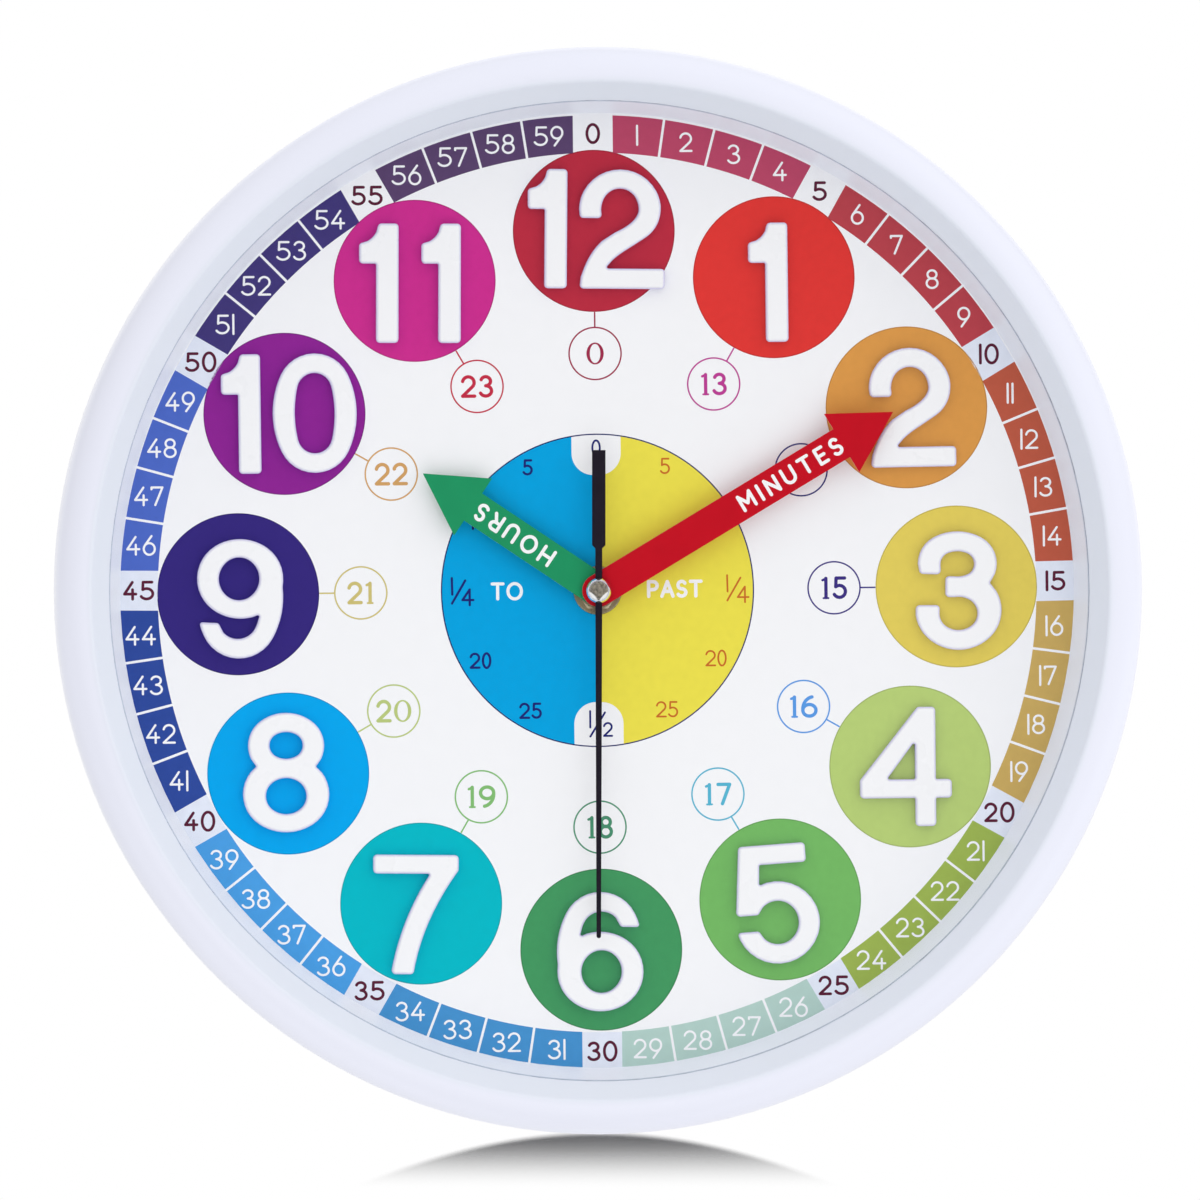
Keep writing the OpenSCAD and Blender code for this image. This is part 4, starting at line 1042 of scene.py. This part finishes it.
# Strength of the light all round, and how much it gains upwards and to the right
LIGHT = 0.94
LIGHT_UP = 0.28
LIGHT_RIGHT = 0.18
ROOM_WHITE = (1, 1, 1)
ROOM_DARK = (0.13, 0.12, 0.1)
ROOM_DIM = (0.34, 0.3, 0.24)
ROOM_SPOTS = 2.6
SPOTS_RANGE = (0.35, 0.65)
# The dim part of the room narrows downwards between two bowed sides
WEDGE_BOW = 0.7
# Where it fades out, toward its sides and toward the rear
WEDGE_FADE = (0.84, 0.96)
REAR_FADE = (0.62, 0.8)


def world():
    """White to the camera. The light is soft and a little stronger from above and from the right, and
    mirrors show a dim room in front, narrower below."""
    sky = bpy.data.worlds.new("studio")
    sky.use_nodes = True
    new, links = sky.node_tree.nodes, sky.node_tree.links
    new.clear()
    out = new.new("ShaderNodeOutputWorld")
    light = new.new("ShaderNodeBackground")
    place = new.new("ShaderNodeTexCoord")
    way = new.new("ShaderNodeSeparateXYZ")
    rays = new.new("ShaderNodeLightPath")
    links.new(place.outputs["Generated"], way.inputs["Vector"])
    rise = way.outputs["Z"]
    depth = way.outputs["Y"]
    gain = sums(new, links, "ADD", sums(new, links, "MULTIPLY", rise, LIGHT_UP),
                sums(new, links, "MULTIPLY", way.outputs["X"], LIGHT_RIGHT))
    soft = sums(new, links, "ADD", gain, LIGHT)
    # Where on a round mirror this light shows: how far out, aside and below its middle
    tilt = sums(new, links, "POWER", sums(new, links, "ADD", sums(new, links, "MULTIPLY", depth, -2), 2), 0.5)
    aside = sums(new, links, "DIVIDE", sums(new, links, "ABSOLUTE", way.outputs["X"], 0), tilt)
    fall = sums(new, links, "MAXIMUM", sums(new, links, "MULTIPLY", rise, -1), 0)
    below = sums(new, links, "DIVIDE", fall, tilt)
    corner = sums(new, links, "ADD", sums(new, links, "POWER", aside, WEDGE_BOW),
                  sums(new, links, "POWER", below, WEDGE_BOW))
    dim = sums(new, links, "MULTIPLY", remap(new, links, corner, *WEDGE_FADE, 1, 0, True),
               remap(new, links, depth, *REAR_FADE, 1, 0, True))
    uneven = new.new("ShaderNodeTexNoise")
    uneven.inputs["Scale"].default_value = ROOM_SPOTS
    links.new(place.outputs["Generated"], uneven.inputs["Vector"])
    spots = remap(new, links, uneven.outputs["Fac"], *SPOTS_RANGE, 0, 1)
    room = blended(new, links, spots, ROOM_DARK, ROOM_DIM)
    mirrored = blended(new, links, dim, ROOM_WHITE, room)
    lit = blended(new, links, rays.outputs["Is Glossy Ray"], soft, mirrored)
    clear = sums(new, links, "MAXIMUM", rays.outputs["Is Camera Ray"], rays.outputs["Is Transmission Ray"])
    links.new(blended(new, links, clear, lit, ROOM_WHITE), light.inputs["Color"])
    links.new(light.outputs["Background"], out.inputs["Surface"])
    bpy.context.scene.world = sky


def lamp(name, place, size, power):
    """A square soft lamp that faces the hub and shows in no reflection."""
    data = bpy.data.lights.new(name, "AREA")
    data.shape = "SQUARE"
    data.size = size
    data.energy = power
    light = bpy.data.objects.new(name, data)
    light.location = HUB + Vector(place)
    light.rotation_mode = "QUATERNION"
    light.rotation_quaternion = Vector(place).to_track_quat("Z", "Y")
    light.visible_camera = False
    light.visible_glossy = False
    bpy.context.scene.collection.objects.link(light)


PHOTO_SIDE = 1200
PIXELS_PER_MM = 3.62
SENSOR = 36.0
VIEW_END = 100.0
CAMERA_FAR = 5.0
CAMERA_LEFT = math.radians(2.5)
CAMERA_UP = math.radians(0.5)
# Where the hub stands in the picture, in pixels right of and below its middle
HUB_RIGHT = -1.6
HUB_DOWN = -9.5


def camera():
    data = bpy.data.cameras.new("camera")
    data.sensor_width = SENSOR
    data.lens = data.sensor_width * CAMERA_FAR * PIXELS_PER_MM / (PHOTO_SIDE * MM)
    data.clip_end = VIEW_END
    eye = bpy.data.objects.new("camera", data)
    back = Vector((-math.sin(CAMERA_LEFT) * math.cos(CAMERA_UP), -math.cos(CAMERA_LEFT) * math.cos(CAMERA_UP),
                   math.sin(CAMERA_UP)))
    aim = HUB + Vector((-HUB_RIGHT, 0, HUB_DOWN)) / PIXELS_PER_MM * MM
    eye.location = aim + back * CAMERA_FAR
    eye.rotation_mode = "QUATERNION"
    eye.rotation_quaternion = back.to_track_quat("Z", "Y")
    bpy.context.scene.collection.objects.link(eye)
    bpy.context.scene.camera = eye


floor()
world()
lamp("low_front", (0.1, -1.0, -0.62), 1.0, 2.2)
lamp("table_bounce", (-0.42, 0.06, -0.75), 0.6, 0.7)
camera()
bpy.context.scene.view_settings.view_transform = "Standard"
